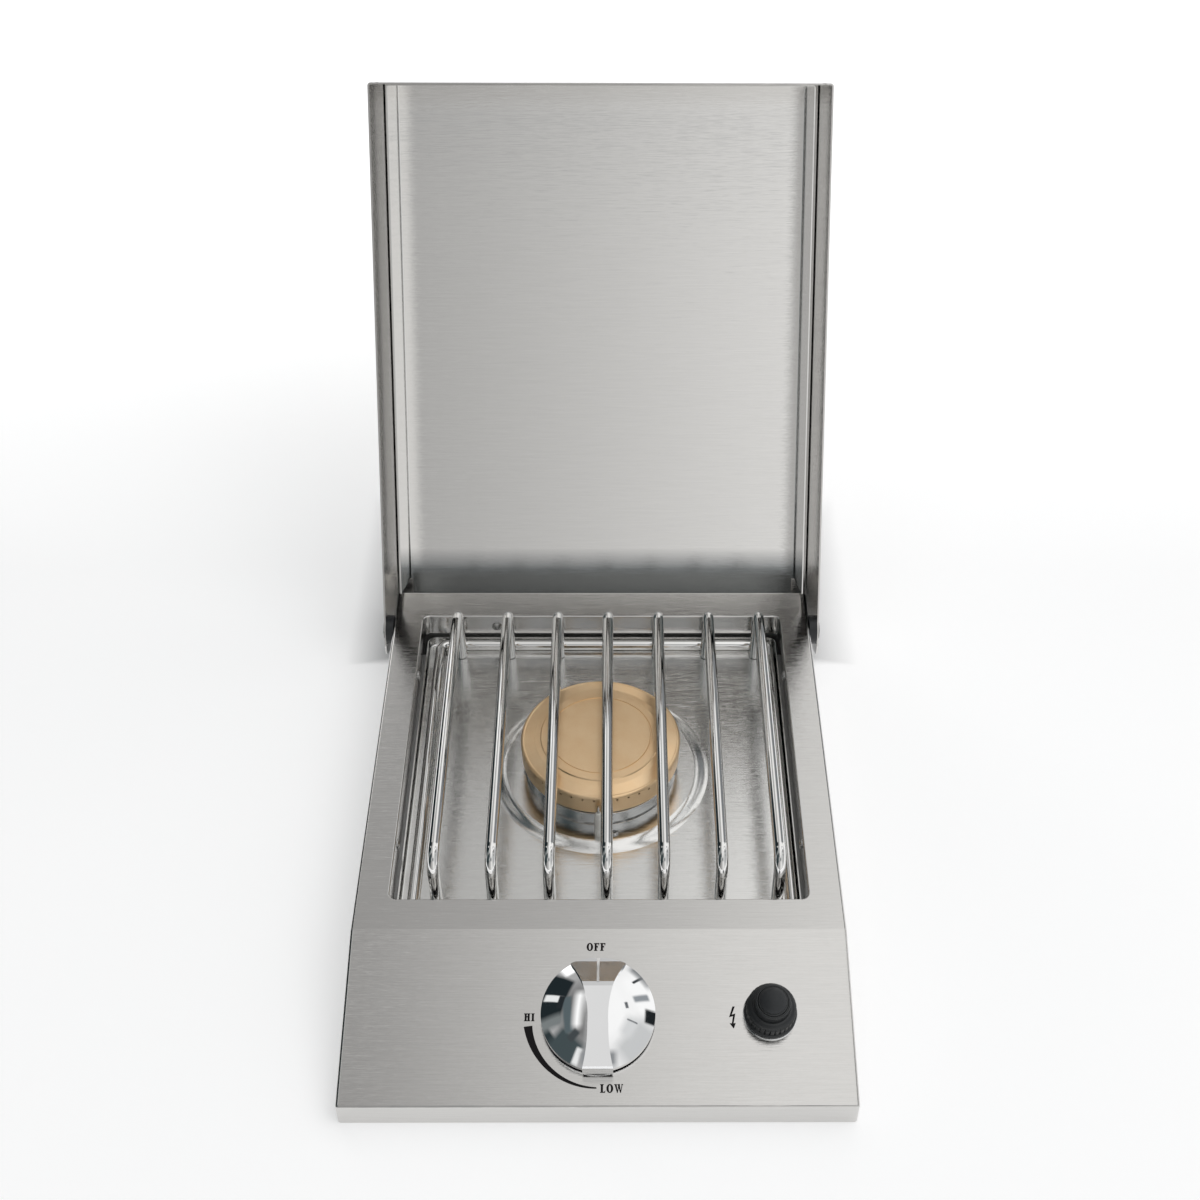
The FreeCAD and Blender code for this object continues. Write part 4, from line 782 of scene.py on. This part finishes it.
def stem(x: float) -> tuple[tuple[Point, ...], ...]:
    """Return an upright stroke with a foot at each end.

    Args:
        x: The stroke's left side.

    Returns:
        The strokes.
    """
    right = x + THICK
    return (
        block(x, THIN, right, 1.0 - THIN),
        (
            (x - FOOT, 0.0), (right + FOOT, 0.0), (right + FOOT, THIN * 0.6), (right, THIN), (x, THIN),
            (x - FOOT, THIN * 0.6),
        ),
        (
            (x - FOOT, 1.0), (x - FOOT, 1.0 - THIN * 0.6), (x, 1.0 - THIN), (right, 1.0 - THIN),
            (right + FOOT, 1.0 - THIN * 0.6), (right + FOOT, 1.0),
        ),
    )


def letter_table() -> dict[str, SerifLetter]:
    """Return the letters that the panel's marks use."""
    right = FOOT + THICK
    wide = 0.80
    cross = block(right, 0.49, wide - right, 0.49 + THIN * 1.2)
    bar = (
        block(right + FOOT, 1.0 - THIN * 1.4, 0.60, 1.0),
        ((0.55, 0.68), (0.63, 0.68), (0.66, 1.0), (0.60, 1.0), (0.60, 1.0 - THIN * 1.4)),
        block(right, 0.45, 0.43, 0.45 + THIN * 1.3),
        block(0.43, 0.34, 0.49, 0.66),
    )
    base = (
        block(right + FOOT, 0.0, 0.58, THIN * 1.2),
        ((0.55, THIN * 1.2), (0.58, 0.0), (0.63, 0.28), (0.60, 0.28)),
    )
    double = (
        ((0.03, 1.0), (0.29, 1.0), (0.43, 0.0), (0.33, 0.0)),
        ((0.33, 0.0), (0.43, 0.0), (0.58, 0.80), (0.49, 0.93)),
        ((0.39, 1.0), (0.65, 1.0), (0.79, 0.0), (0.69, 0.0)),
        ((0.69, 0.0), (0.79, 0.0), (0.99, 1.0), (0.89, 1.0)),
        block(0.0, 1.0 - THIN * 0.8, 0.32, 1.0),
        block(0.38, 1.0 - THIN * 0.8, 0.68, 1.0),
        block(0.84, 1.0 - THIN * 0.8, 1.04, 1.0),
    )
    return {
        "I": SerifLetter(THICK + 2 * FOOT, stem(FOOT)),
        "H": SerifLetter(wide, stem(FOOT) + stem(wide - right) + (cross,)),
        "F": SerifLetter(0.66, stem(FOOT) + bar),
        "L": SerifLetter(0.63, stem(FOOT) + base),
        "O": SerifLetter(wide, ring=True),
        "W": SerifLetter(1.04, double),
    }


@dataclass
class PanelMarks:
    """The printed words, the tapered arc and the spark sign on the panel.

    Attributes:
        panel: The panel's axes.
        ink: How far the ink stands out of the panel.
        gap: The space between letters, in letter heights.
        arc_radius: The arc's middle radius about the knob.
        arc_start: The arc's width beside the word for full flame.
        arc_end: The arc's width at its thin end.
    """

    panel: Panel
    ink: float = 0.06 * MM
    gap: float = 0.10
    arc_radius: float = 43.7 * MM
    arc_start: float = 5.4 * MM
    arc_end: float = 0.9 * MM
    letters: dict[str, SerifLetter] = field(default_factory=letter_table)

    def build(self) -> None:
        """Make every mark."""
        self.word(Word.OFF, "mark_off", -1.6 * MM, 45.2 * MM, 12.0 * MM)
        self.word(Word.HIGH, "mark_high", -42.7 * MM, -0.1 * MM, 6.6 * MM)
        self.word(Word.LOW, "mark_low", 8.4 * MM, -44.0 * MM, 14.0 * MM)
        self.arc()
        self.spark()

    def word(self, word: Word, name: str, right: float, up: float, width: float) -> None:
        """Make one word.

        Args:
            word: The word.
            name: The piece's name.
            right: The word's middle, to the right of the knob.
            up: The word's middle, up the slope from the knob.
            width: The word's width.
        """
        text = word.value
        total = sum(self.letters[c].width for c in text) + self.gap * (len(text) - 1)
        height = width / total
        piece = None
        pen = -total / 2
        for character in text:
            letter = self.letters[character]
            for stroke in letter.strokes:
                outline = [((pen + x) * height, (y - 0.5) * height) for x, y in stroke]
                piece = flat_outline(piece, outline)
            if letter.ring:
                middle = (pen + letter.width / 2) * height
                piece = self.round_letter(piece, middle, letter.width * height, height)
            pen += letter.width + self.gap
        self.print_on_panel(piece, name, right, up)

    def round_letter(
        self, piece: bpy.types.Object | None, middle: float, width: float, height: float
    ) -> bpy.types.Object:
        """Add a round letter O, thick at its sides and thin above and below.

        Args:
            piece: The piece that gets the letter, or None for a new one.
            middle: The letter's middle.
            width: The letter's width.
            height: The letter's height.

        Returns:
            The piece.
        """
        corners = 28
        reach = 0.52
        turns = [2 * math.pi * i / corners for i in range(corners)]
        outer = [(middle + width / 2 * math.cos(t), height * reach * math.sin(t)) for t in turns]
        piece = flat_outline(piece, outer)
        newest = len(piece.data.polygons) - 1
        pick_faces(piece, lambda face: face.index == newest)
        bpy.ops.mesh.inset(thickness=THICK * height * 0.5)
        bpy.ops.mesh.delete(type="FACE")
        bpy.ops.object.mode_set(mode="OBJECT")
        half = width / 2 - THICK * height * 1.05
        tall = height * (reach - THIN)
        for index, turn in enumerate(turns):
            vertex = piece.data.vertices[len(piece.data.vertices) - len(turns) + index]
            vertex.co = (middle + half * math.cos(turn), tall * math.sin(turn), 0.0)
        return piece

    def arc(self) -> None:
        """Make the arc that tapers from full flame to low flame."""
        start, end = math.radians(187.5), math.radians(269.0)
        steps = 30
        outer, inner = [], []
        for share in (i / steps for i in range(steps + 1)):
            turn = start + (end - start) * share
            half = (self.arc_start + (self.arc_end - self.arc_start) * share ** 0.8) / 2
            for side, radius in ((outer, self.arc_radius + half), (inner, self.arc_radius - half)):
                side.append((radius * math.cos(turn), radius * math.sin(turn)))
        outline = outer + inner[::-1]
        self.print_on_panel(flat_outline(None, outline), "mark_arc", 0.0, 0.0)

    def spark(self) -> None:
        """Make the bolt with an arrow tip beside the igniter."""
        points = (
            (1.7, 7.0), (0.2, 7.0), (-2.1, 0.2), (0.35, 0.9), (-0.5, -3.6), (-1.9, -3.6),
            (0.6, -7.0), (2.0, -3.4), (0.65, -3.6), (1.9, 2.6), (-0.3, 1.9),
        )
        outline = [(x * MM, y * MM) for x, y in points]
        self.print_on_panel(flat_outline(None, outline), "mark_spark", 83.3 * MM, -0.4 * MM)

    def print_on_panel(self, piece: bpy.types.Object, name: str, right: float, up: float) -> None:
        """Give a flat mark its ink thickness and lay it on the panel.

        Args:
            piece: The flat mark.
            name: The piece's name.
            right: Its place to the right of the knob.
            up: Its place up the slope from the knob.
        """
        pick_faces(piece, lambda face: True)
        bpy.ops.mesh.normals_make_consistent(inside=False)
        bpy.ops.object.mode_set(mode="OBJECT")
        if piece.data.polygons[0].normal.z < 0:
            pick_faces(piece, lambda face: True)
            bpy.ops.mesh.flip_normals()
            bpy.ops.object.mode_set(mode="OBJECT")
        apply_modifier(piece, "SOLIDIFY", thickness=self.ink, offset=1.0)
        settle(piece, self.panel.at(right, up, 0.005 * MM))
        hand_over(piece, name, Palette.INK, Body.BASE)


# Sub-assemblies


@dataclass
class Enclosure:
    """The folded frame, the housing under it, the pan and their fixings."""

    frame: dict

    def build(self) -> None:
        """Dress the sheet metal and its screws."""
        dress(self.frame, Palette.SATIN, "top_frame")
        dress(self.frame, Palette.PAN, "drip_pan")
        dress(self.frame, Palette.SHEET, "housing", "heat_shield", "pan_rails", "clamp_ring", "tube_bracket")
        dress(self.frame, Palette.SCREW, "housing_screws", "clamp_screws", "bracket_screw", "valve_screws")


@dataclass
class Burner:
    """The burner head, its ring, cap and spark electrode."""

    frame: dict

    def build(self) -> None:
        """Dress the burner."""
        dress(self.frame, Palette.BRASS_CAP, "burner_cap")
        dress(self.frame, Palette.CAST, "burner_head")
        dress(self.frame, Palette.RING, "burner_ring")
        dress(self.frame, Palette.SCREW, "ring_screws", "electrode_screw")
        dress(self.frame, Palette.CERAMIC, "electrode_ceramic")
        dress(self.frame, Palette.TIN, "electrode_rod")
        dress(self.frame, Palette.SHEET, "electrode_clip")


@dataclass
class GasTrain:
    """The inlet, pipe, valve, nozzle and mixer tube.

    Attributes:
        frame: The loaded frame.
        nose: The middle of the inlet's nose, at the thread's top.
        nose_radius: The nose's radius.
        pitch: The thread's pitch.
        turns: How many turns the thread has.
        crest: How far the thread stands out of the nose.
    """

    frame: dict
    nose: Place = (-0.092, 0.064454, -0.0760)
    nose_radius: float = 7.94 * MM
    pitch: float = 1.5 * MM
    turns: int = 6
    crest: float = 0.28 * MM

    def build(self) -> None:
        """Dress the gas train."""
        dress(self.frame, Palette.SHEET, "mixer_tube", "air_shutter", "valve_bonnet")
        dress(self.frame, Palette.SCREW, "shutter_screw", "spring_seat")
        dress(
            self.frame, Palette.BRASS, "valve_body", "valve_plug", "orifice", "inlet_elbow", "inlet_locknut",
            "manifold_plug",
        )
        dress(self.frame, Palette.PIPE, "manifold_pipe")
        dress(self.frame, Palette.WIRE, "valve_spring")
        dress(self.frame, Palette.STEM, "valve_stem")
        self.thread()

    def thread(self) -> None:
        """Wind the thread on the inlet's nose."""
        clear_selection()
        size = 0.55 * MM
        at = self.nose_radius + self.crest - size
        bpy.ops.mesh.primitive_circle_add(
            vertices=3, radius=size, fill_type="NOTHING", location=(at, 0.0, 0.0),
            rotation=(math.pi / 2, 0.0, 0.0),
        )
        profile = bpy.context.object
        bpy.ops.object.transform_apply(location=True, rotation=True, scale=True)
        tip = max(vertex.co.x for vertex in profile.data.vertices) - self.nose_radius - self.crest
        for vertex in profile.data.vertices:
            vertex.co.x -= tip
        apply_modifier(
            profile, "SCREW", axis="Z", angle=2 * math.pi, screw_offset=self.pitch, iterations=self.turns,
            steps=28, render_steps=28,
        )
        close_and_turn_out(profile)
        settle(profile, Matrix.Translation(self.nose))
        hand_over(profile, "inlet_thread", Palette.BRASS, Body.BASE)


@dataclass
class Controls:
    """The knob and the igniter."""

    frame: dict
    panel: Panel

    def build(self) -> None:
        """Dress the controls and print the panel's marks."""
        dress(self.frame, Palette.CHROME, "knob")
        dress(self.frame, Palette.BRASS, "knob_hub")
        dress(self.frame, Palette.WIRE, "knob_clip", "igniter_spring")
        dress(self.frame, Palette.BLACK, "igniter_body", "igniter_nut", "igniter_button")
        dress(self.frame, Palette.RUBBER, "igniter_boot")
        dress(self.frame, Palette.RING, "igniter_washer")
        dress(self.frame, Palette.JACKET, "battery")
        dress(self.frame, Palette.TIN, "battery_contact", "igniter_terminals")
        PanelMarks(self.panel).build()


@dataclass
class Grate:
    """The rod grate and its welds.

    Attributes:
        frame: The loaded frame.
        middle: The middle bar's X.
        spacing: The distance between bars.
        joints: Where the legs meet the ring, in front and behind.
        height: The height of the beads' feet.
        bead: Half a bead's width, length and height.
    """

    frame: dict
    middle: float = 4.9 * MM
    spacing: float = 37.6 * MM
    joints: Point = (133.08 * MM, 379.68 * MM)
    height: float = 24.6 * MM
    bead: Place = (2.5 * MM, 1.7 * MM, 2.6 * MM)

    def build(self) -> None:
        """Dress the rods."""
        dress(self.frame, Palette.ROD, "grate_bars")
        dress(self.frame, Palette.RING_ROD, "grate_ring")
        self.welds()

    def welds(self) -> None:
        """Lay a weld bead wherever a leg meets the ring."""
        first = self.weld_bead()
        across = [self.middle + bar * self.spacing for bar in range(-3, 4)]
        spots = [(x, y, self.height) for y in self.joints for x in across]
        for count, spot in enumerate(spots, 1):
            bead = copy_of(first)
            turned = Matrix.Rotation(random.uniform(-0.3, 0.3), 4, "Z")
            settle(bead, Matrix.Translation(spot) @ turned)
            hand_over(bead, f"weld_bead_{count}", Palette.WELD, Body.GRATE)
        bpy.data.objects.remove(first)

    def weld_bead(self) -> bpy.types.Object:
        """Return one weld bead, a rounded mound about the origin."""
        clear_selection()
        bpy.ops.mesh.primitive_circle_add(vertices=12, radius=1.0, fill_type="NGON")
        bead = bpy.context.object
        for rise, share in ((0.45, 0.96), (0.35, 0.78), (0.20, 0.45)):
            top = max(range(len(bead.data.polygons)), key=lambda i: bead.data.polygons[i].center.z)
            pick_faces(bead, lambda face, top=top: face.index == top)
            bpy.ops.mesh.extrude_region_move(TRANSFORM_OT_translate={"value": (0.0, 0.0, rise)})
            bpy.ops.transform.resize(value=(share, share, 1.0))
            bpy.ops.object.mode_set(mode="OBJECT")
        close_and_turn_out(bead)
        apply_modifier(bead, "SUBSURF", levels=2, render_levels=2)
        bead.data.transform(Matrix.Diagonal((*self.bead, 1.0)))
        choose(bead)
        bpy.ops.object.shade_smooth()
        return bead


@dataclass
class Lid:
    """The lid's skin, liner, stiffeners and pivots."""

    frame: dict

    def build(self) -> None:
        """Dress the lid and its pivots."""
        dress(self.frame, Palette.LID, "lid_shell")
        dress(self.frame, Palette.LINER, "lid_liner")
        dress(self.frame, Palette.SHEET, "lid_stiffeners")
        dress(self.frame, Palette.BLACK, "lid_bushes")
        dress(self.frame, Palette.SCREW, "lid_pivot_screws", "lid_pivot_nuts")


# The studio


@dataclass(frozen=True)
class RoomArea:
    """A light or dark area of the room that polished metal shows.

    Attributes:
        centre: The direction of its middle.
        wide: Half its width, seen from one unit away.
        tall: Half its height, seen from one unit away.
        tone: Its colour.
        soft: How soft its edge is.
    """

    centre: Place
    wide: float
    tall: float
    tone: Colour
    soft: float = 0.03


# What the polished metal shows on its left, on its right, and behind and in front of the burner
ROOM = (
    RoomArea((-0.80, 0.35, 0.42), 0.42, 0.62, (0.015, 0.022, 0.025), 0.03),
    RoomArea((-0.85, -0.50, 0.30), 0.38, 0.50, (0.03, 0.042, 0.046), 0.03),
    RoomArea((-0.54, -0.48, 0.69), 0.26, 0.26, (0.06, 0.08, 0.085), 0.06),
    RoomArea((-0.34, -0.62, 0.70), 0.05, 0.13, (0.85, 0.86, 0.85), 0.02),
    RoomArea((-0.78, -0.06, 0.60), 0.09, 0.34, (0.20, 0.22, 0.22), 0.05),
    RoomArea((-0.62, 0.30, 0.72), 0.05, 0.16, (0.85, 0.86, 0.85), 0.01),
    RoomArea((-0.48, 0.0, 0.88), 0.30, 0.07, (0.10, 0.13, 0.14), 0.02),
    RoomArea((-0.32, 0.05, 0.95), 0.30, 0.06, (1.10, 1.10, 1.09), 0.06),
    RoomArea((-0.55, 0.22, 0.80), 0.10, 0.05, (0.02, 0.025, 0.028), 0.01),
    RoomArea((-0.40, -0.34, 0.85), 0.06, 0.10, (0.06, 0.07, 0.075), 0.02),
    RoomArea((0.72, 0.45, 0.50), 0.34, 0.50, (1.02, 1.02, 1.01), 0.08),
    RoomArea((0.70, -0.45, 0.50), 0.36, 0.50, (0.60, 0.61, 0.61), 0.10),
    RoomArea((0.48, -0.20, 0.86), 0.16, 0.10, (0.70, 0.71, 0.71), 0.06),
    RoomArea((0.92, -0.10, 0.36), 0.60, 0.16, (0.42, 0.43, 0.44), 0.12),
    RoomArea((0.76, 0.05, 0.64), 0.11, 0.12, (0.015, 0.018, 0.02), 0.02),
    RoomArea((0.82, -0.16, 0.54), 0.04, 0.09, (0.02, 0.022, 0.025), 0.01),
    RoomArea((0.55, 0.62, 0.56), 0.02, 0.22, (0.05, 0.055, 0.06), 0.008),
    RoomArea((0.60, 0.30, 0.74), 0.05, 0.13, (0.30, 0.32, 0.34), 0.02),
    RoomArea((0.42, 0.14, 0.89), 0.05, 0.025, (0.12, 0.13, 0.14), 0.008),
    RoomArea((0.52, -0.10, 0.84), 0.012, 0.09, (0.15, 0.16, 0.17), 0.006),
    RoomArea((-0.34, 0.78, 0.50), 0.15, 0.22, (1.35, 1.35, 1.34), 0.03),
    RoomArea((0.62, 0.72, 0.32), 0.20, 0.36, (0.22, 0.23, 0.24), 0.05),
    RoomArea((0.0, -0.69, 0.72), 0.30, 0.12, (0.28, 0.29, 0.30), 0.05),
)


# The room's level from left to right, overhead, in front and behind, each stop with its X
SWEEP = (
    (
        (-0.45, 0.05), (-0.26, 0.16), (-0.18, 0.40), (-0.12, 0.47), (-0.06, 0.76), (0.0, 0.74), (0.05, 0.98),
        (0.10, 1.02), (0.20, 1.0),
    ),
    ((-0.15, 0.42), (-0.10, 0.49), (0.0, 0.62), (0.05, 0.71), (0.12, 0.84)),
    ((-0.15, 0.43), (-0.05, 0.50), (0.0, 0.55), (0.06, 0.70), (0.13, 0.94)),
)


@dataclass
class Studio:
    """The pale counter, the soft surroundings, the lamps and the camera.

    Attributes:
        cut_out: The counter's opening as lowest and highest X and Y.
        reach: Half the counter's width.
        glow: The counter's own glow, as the camera and metal see it.
        far: The distances between which the glow rises where the lamps hardly reach.
        far_glow: How much it rises.
        lee: The distances behind the frame between which the lid's shade ends.
        areas: The light and dark areas of the room.
    """

    cut_out: tuple[float, float, float, float]
    reach: float = 4.0
    glow: float = 0.41
    far: Point = (0.5, 1.2)
    far_glow: float = 0.3
    lee: Point = (0.10, 0.20)
    areas: tuple[RoomArea, ...] = ROOM

    def build(self) -> None:
        """Make the studio."""
        self.counter()
        self.surroundings()
        self.lamps()
        self.camera()

    def counter(self) -> None:
        """Make the counter with its opening."""
        clear_selection()
        bpy.ops.mesh.primitive_plane_add(size=2 * self.reach)
        floor = bpy.context.object
        x0, x1, y0, y1 = self.cut_out
        for point in ((x0, 0, 0), (x1, 0, 0), (0, y0, 0), (0, y1, 0)):
            pick_faces(floor, lambda face: True)
            bpy.ops.mesh.bisect(plane_co=point, plane_no=(1, 0, 0) if point[0] else (0, 1, 0))
            bpy.ops.object.mode_set(mode="OBJECT")
        pick_faces(floor, lambda face: x0 < face.center.x < x1 and y0 < face.center.y < y1)
        bpy.ops.mesh.delete(type="FACE")
        bpy.ops.object.mode_set(mode="OBJECT")
        settle(floor, Matrix.Translation((0.0, 0.0, -0.1 * MM)))
        floor.name = "counter"
        floor.data.materials.append(self.counter_material())

    def counter_material(self) -> bpy.types.Material:
        """Return the counter's pale material, which shows white and keeps shadows."""
        material = bpy.data.materials.new("pale_counter")
        material.use_nodes = True
        n = Nodes(material.node_tree)
        shader = material.node_tree.nodes["Principled BSDF"]
        output = material.node_tree.nodes["Material Output"]
        shader.inputs["Base Color"].default_value = (0.80, 0.80, 0.805, 1.0)
        shader.inputs["Roughness"].default_value = 0.9
        shader.inputs["Specular IOR Level"].default_value = 0.0
        path = n.add("LightPath").outputs
        seen = n.math("MAXIMUM", path["Is Camera Ray"], path["Is Glossy Ray"])
        seen = n.math("MAXIMUM", seen, path["Is Transmission Ray"])
        glow = n.add("Emission")
        glow.inputs["Color"].default_value = WHITE
        n.join(n.math("MULTIPLY", seen, self.glow_strength(n)), glow.inputs["Strength"])
        both = n.add("AddShader")
        n.join(shader.outputs[0], both.inputs[0])
        n.join(glow.outputs[0], both.inputs[1])
        n.join(both.outputs[0], output.inputs["Surface"])
        return material

    def glow_strength(self, n: Nodes) -> bpy.types.NodeSocket:
        """Return the counter's glow, which leaves the lid's shade behind the frame and rises far away.

        Args:
            n: The counter material's node helper.

        Returns:
            The strength's socket.
        """
        x, y, _ = n.parts(n.add("TexCoord").outputs["Object"])
        x0, x1, _, y1 = self.cut_out
        middle, half = (x0 + x1) / 2, (x1 - x0) / 2
        beside = n.math("ABSOLUTE", n.math("SUBTRACT", x, middle))
        outside = n.spread(beside, half + 20 * MM, half + 60 * MM)
        before = n.spread(y, y1 - 10 * MM, y1, 1.0, 0.0)
        behind = n.spread(y, y1 + self.lee[0], y1 + self.lee[1])
        lit = n.math("MAXIMUM", n.math("MAXIMUM", outside, before), behind)
        away = n.math("MAXIMUM", n.math("ABSOLUTE", x), n.math("ABSOLUTE", y))
        return n.math("MULTIPLY_ADD", lit, self.glow, n.spread(away, *self.far, 0.0, self.far_glow))

    def surroundings(self) -> None:
        """Make the world, white to the camera and a room of light and dark areas to metal."""
        world = bpy.data.worlds.new("studio")
        world.use_nodes = True
        bpy.context.scene.world = world
        n = Nodes(world.node_tree)
        back = world.node_tree.nodes["Background"]
        output = world.node_tree.nodes["World Output"]
        way = n.add("TexCoord").outputs["Generated"]
        tone = self.sweep(n, way)
        for area in self.areas:
            tone = n.blend(self.area_mask(n, way, area), tone, area.tone)
        n.join(tone, back.inputs["Color"])
        white = n.add("Background")
        white.inputs["Color"].default_value = WHITE
        path = n.add("LightPath").outputs
        seen = n.math("MAXIMUM", path["Is Camera Ray"], path["Is Transmission Ray"])
        choose = n.add("MixShader")
        n.join(seen, choose.inputs[0])
        n.join(back.outputs[0], choose.inputs[1])
        n.join(white.outputs[0], choose.inputs[2])
        n.join(choose.outputs[0], output.inputs["Surface"])

    def sweep(self, n: Nodes, way: bpy.types.NodeSocket) -> bpy.types.NodeSocket:
        """Return the room's soft sweep from its dim left to its bright right.

        Args:
            n: The world's node helper.
            way: The direction's socket.

        Returns:
            The colour's socket.
        """
        x, y, z = n.parts(way)
        overhead, ahead, behind = (n.ramp(x, -0.5, 0.5, levels) for levels in SWEEP)
        level = n.blend(n.spread(y, -0.3, 0.35), ahead, behind)
        level = n.blend(n.spread(z, 0.76, 0.93), level, overhead)
        tone = n.add("CombineColor")
        for index, share in enumerate((1.0, 0.998, 0.99)):
            n.join(n.math("MULTIPLY", level, share), tone.inputs[index])
        return tone.outputs[0]

    def area_mask(self, n: Nodes, way: bpy.types.NodeSocket, area: RoomArea) -> bpy.types.NodeSocket:
        """Return a mask that is 1 inside one area of the room.

        Args:
            n: The world's node helper.
            way: The direction's socket.
            area: The area.

        Returns:
            The mask's socket.
        """
        ahead = Vector(area.centre).normalized()
        right = ahead.cross(Vector((0.0, 0.0, 1.0))).normalized()
        depth = n.dot(way, ahead)
        across = n.math("ABSOLUTE", n.dot(way, right))
        above = n.math("ABSOLUTE", n.dot(way, right.cross(ahead)))
        beside = n.math("SUBTRACT", n.math("MULTIPLY", depth, area.wide), across)
        within = n.math("SUBTRACT", n.math("MULTIPLY", depth, area.tall), above)
        soft = area.soft
        return n.math("MULTIPLY", n.spread(beside, -soft, soft), n.spread(within, -soft, soft))

    def lamps(self) -> None:
        """Hang the two soft lamps."""
        self.lamp("key", (1.3, -0.3, 2.2), (0.0, 0.25, 0.0), 1.6, 10.0)
        self.lamp("fill", (-1.6, -1.2, 1.6), (0.0, 0.25, 0.1), 1.6, 3.0)

    def lamp(self, name: str, place: Place, target: Place, size: float, power: float) -> None:
        """Hang one square lamp.

        Args:
            name: The lamp's name.
            place: Where it hangs.
            target: Where it points.
            size: Its side.
            power: Its power in watts.
        """
        data = bpy.data.lights.new(name, "AREA")
        data.size = size
        data.energy = power
        lamp = bpy.data.objects.new(name, data)
        lamp.visible_glossy = False
        lamp.location = place
        lamp.rotation_euler = (Vector(target) - Vector(place)).to_track_quat("-Z", "Y").to_euler()
        bpy.context.scene.collection.objects.link(lamp)

    def camera(self) -> None:
        """Set the camera at the photograph's place, direction and framing."""
        pitch, yaw, roll = math.radians(42.772), math.radians(0.470), math.radians(0.342)
        ahead = Vector((math.sin(yaw) * math.cos(pitch), math.cos(yaw) * math.cos(pitch), -math.sin(pitch)))
        level = Vector((math.cos(yaw), -math.sin(yaw), 0.0))
        above = level.cross(ahead)
        right = level * math.cos(roll) + above * math.sin(roll)
        up = above * math.cos(roll) - level * math.sin(roll)
        data = bpy.data.cameras.new("photo_camera")
        data.lens = 49.716
        data.sensor_width = 36.0
        data.shift_x = -0.02178
        data.shift_y = -0.0008
        camera = bpy.data.objects.new("photo_camera", data)
        turned = Matrix((right, up, -ahead)).transposed().to_4x4()
        camera.matrix_world = Matrix.Translation((0.011065, -0.53428, 0.921)) @ turned
        bpy.context.scene.collection.objects.link(camera)
        bpy.context.scene.camera = camera


def panel_of(frame: dict) -> Panel:
    """Return the panel's axes from the knob's joint."""
    joint = next(j for j in frame["joints"] if j["name"] == "knob_turn")
    return Panel(Vector(joint["pos_m"]), Vector(joint["axis"]).normalized())


def main() -> None:
    """Build the whole scene round the frame."""
    logging.basicConfig(level=logging.INFO, format="%(name)s: %(message)s")
    random.seed(7)
    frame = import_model()
    bpy.context.scene.view_settings.view_transform = "Standard"
    brushed_group()
    handling_group()
    lathe_group()
    panel = panel_of(frame)
    controls = Controls(frame, panel)
    for assembly in (Enclosure(frame), Burner(frame), GasTrain(frame), controls, Grate(frame), Lid(frame)):
        assembly.build()
    low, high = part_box("housing")
    gap = 3 * MM
    Studio((low.x - gap, high.x + gap, low.y - gap, high.y + gap)).build()


if __name__ == "__main__":
    main()
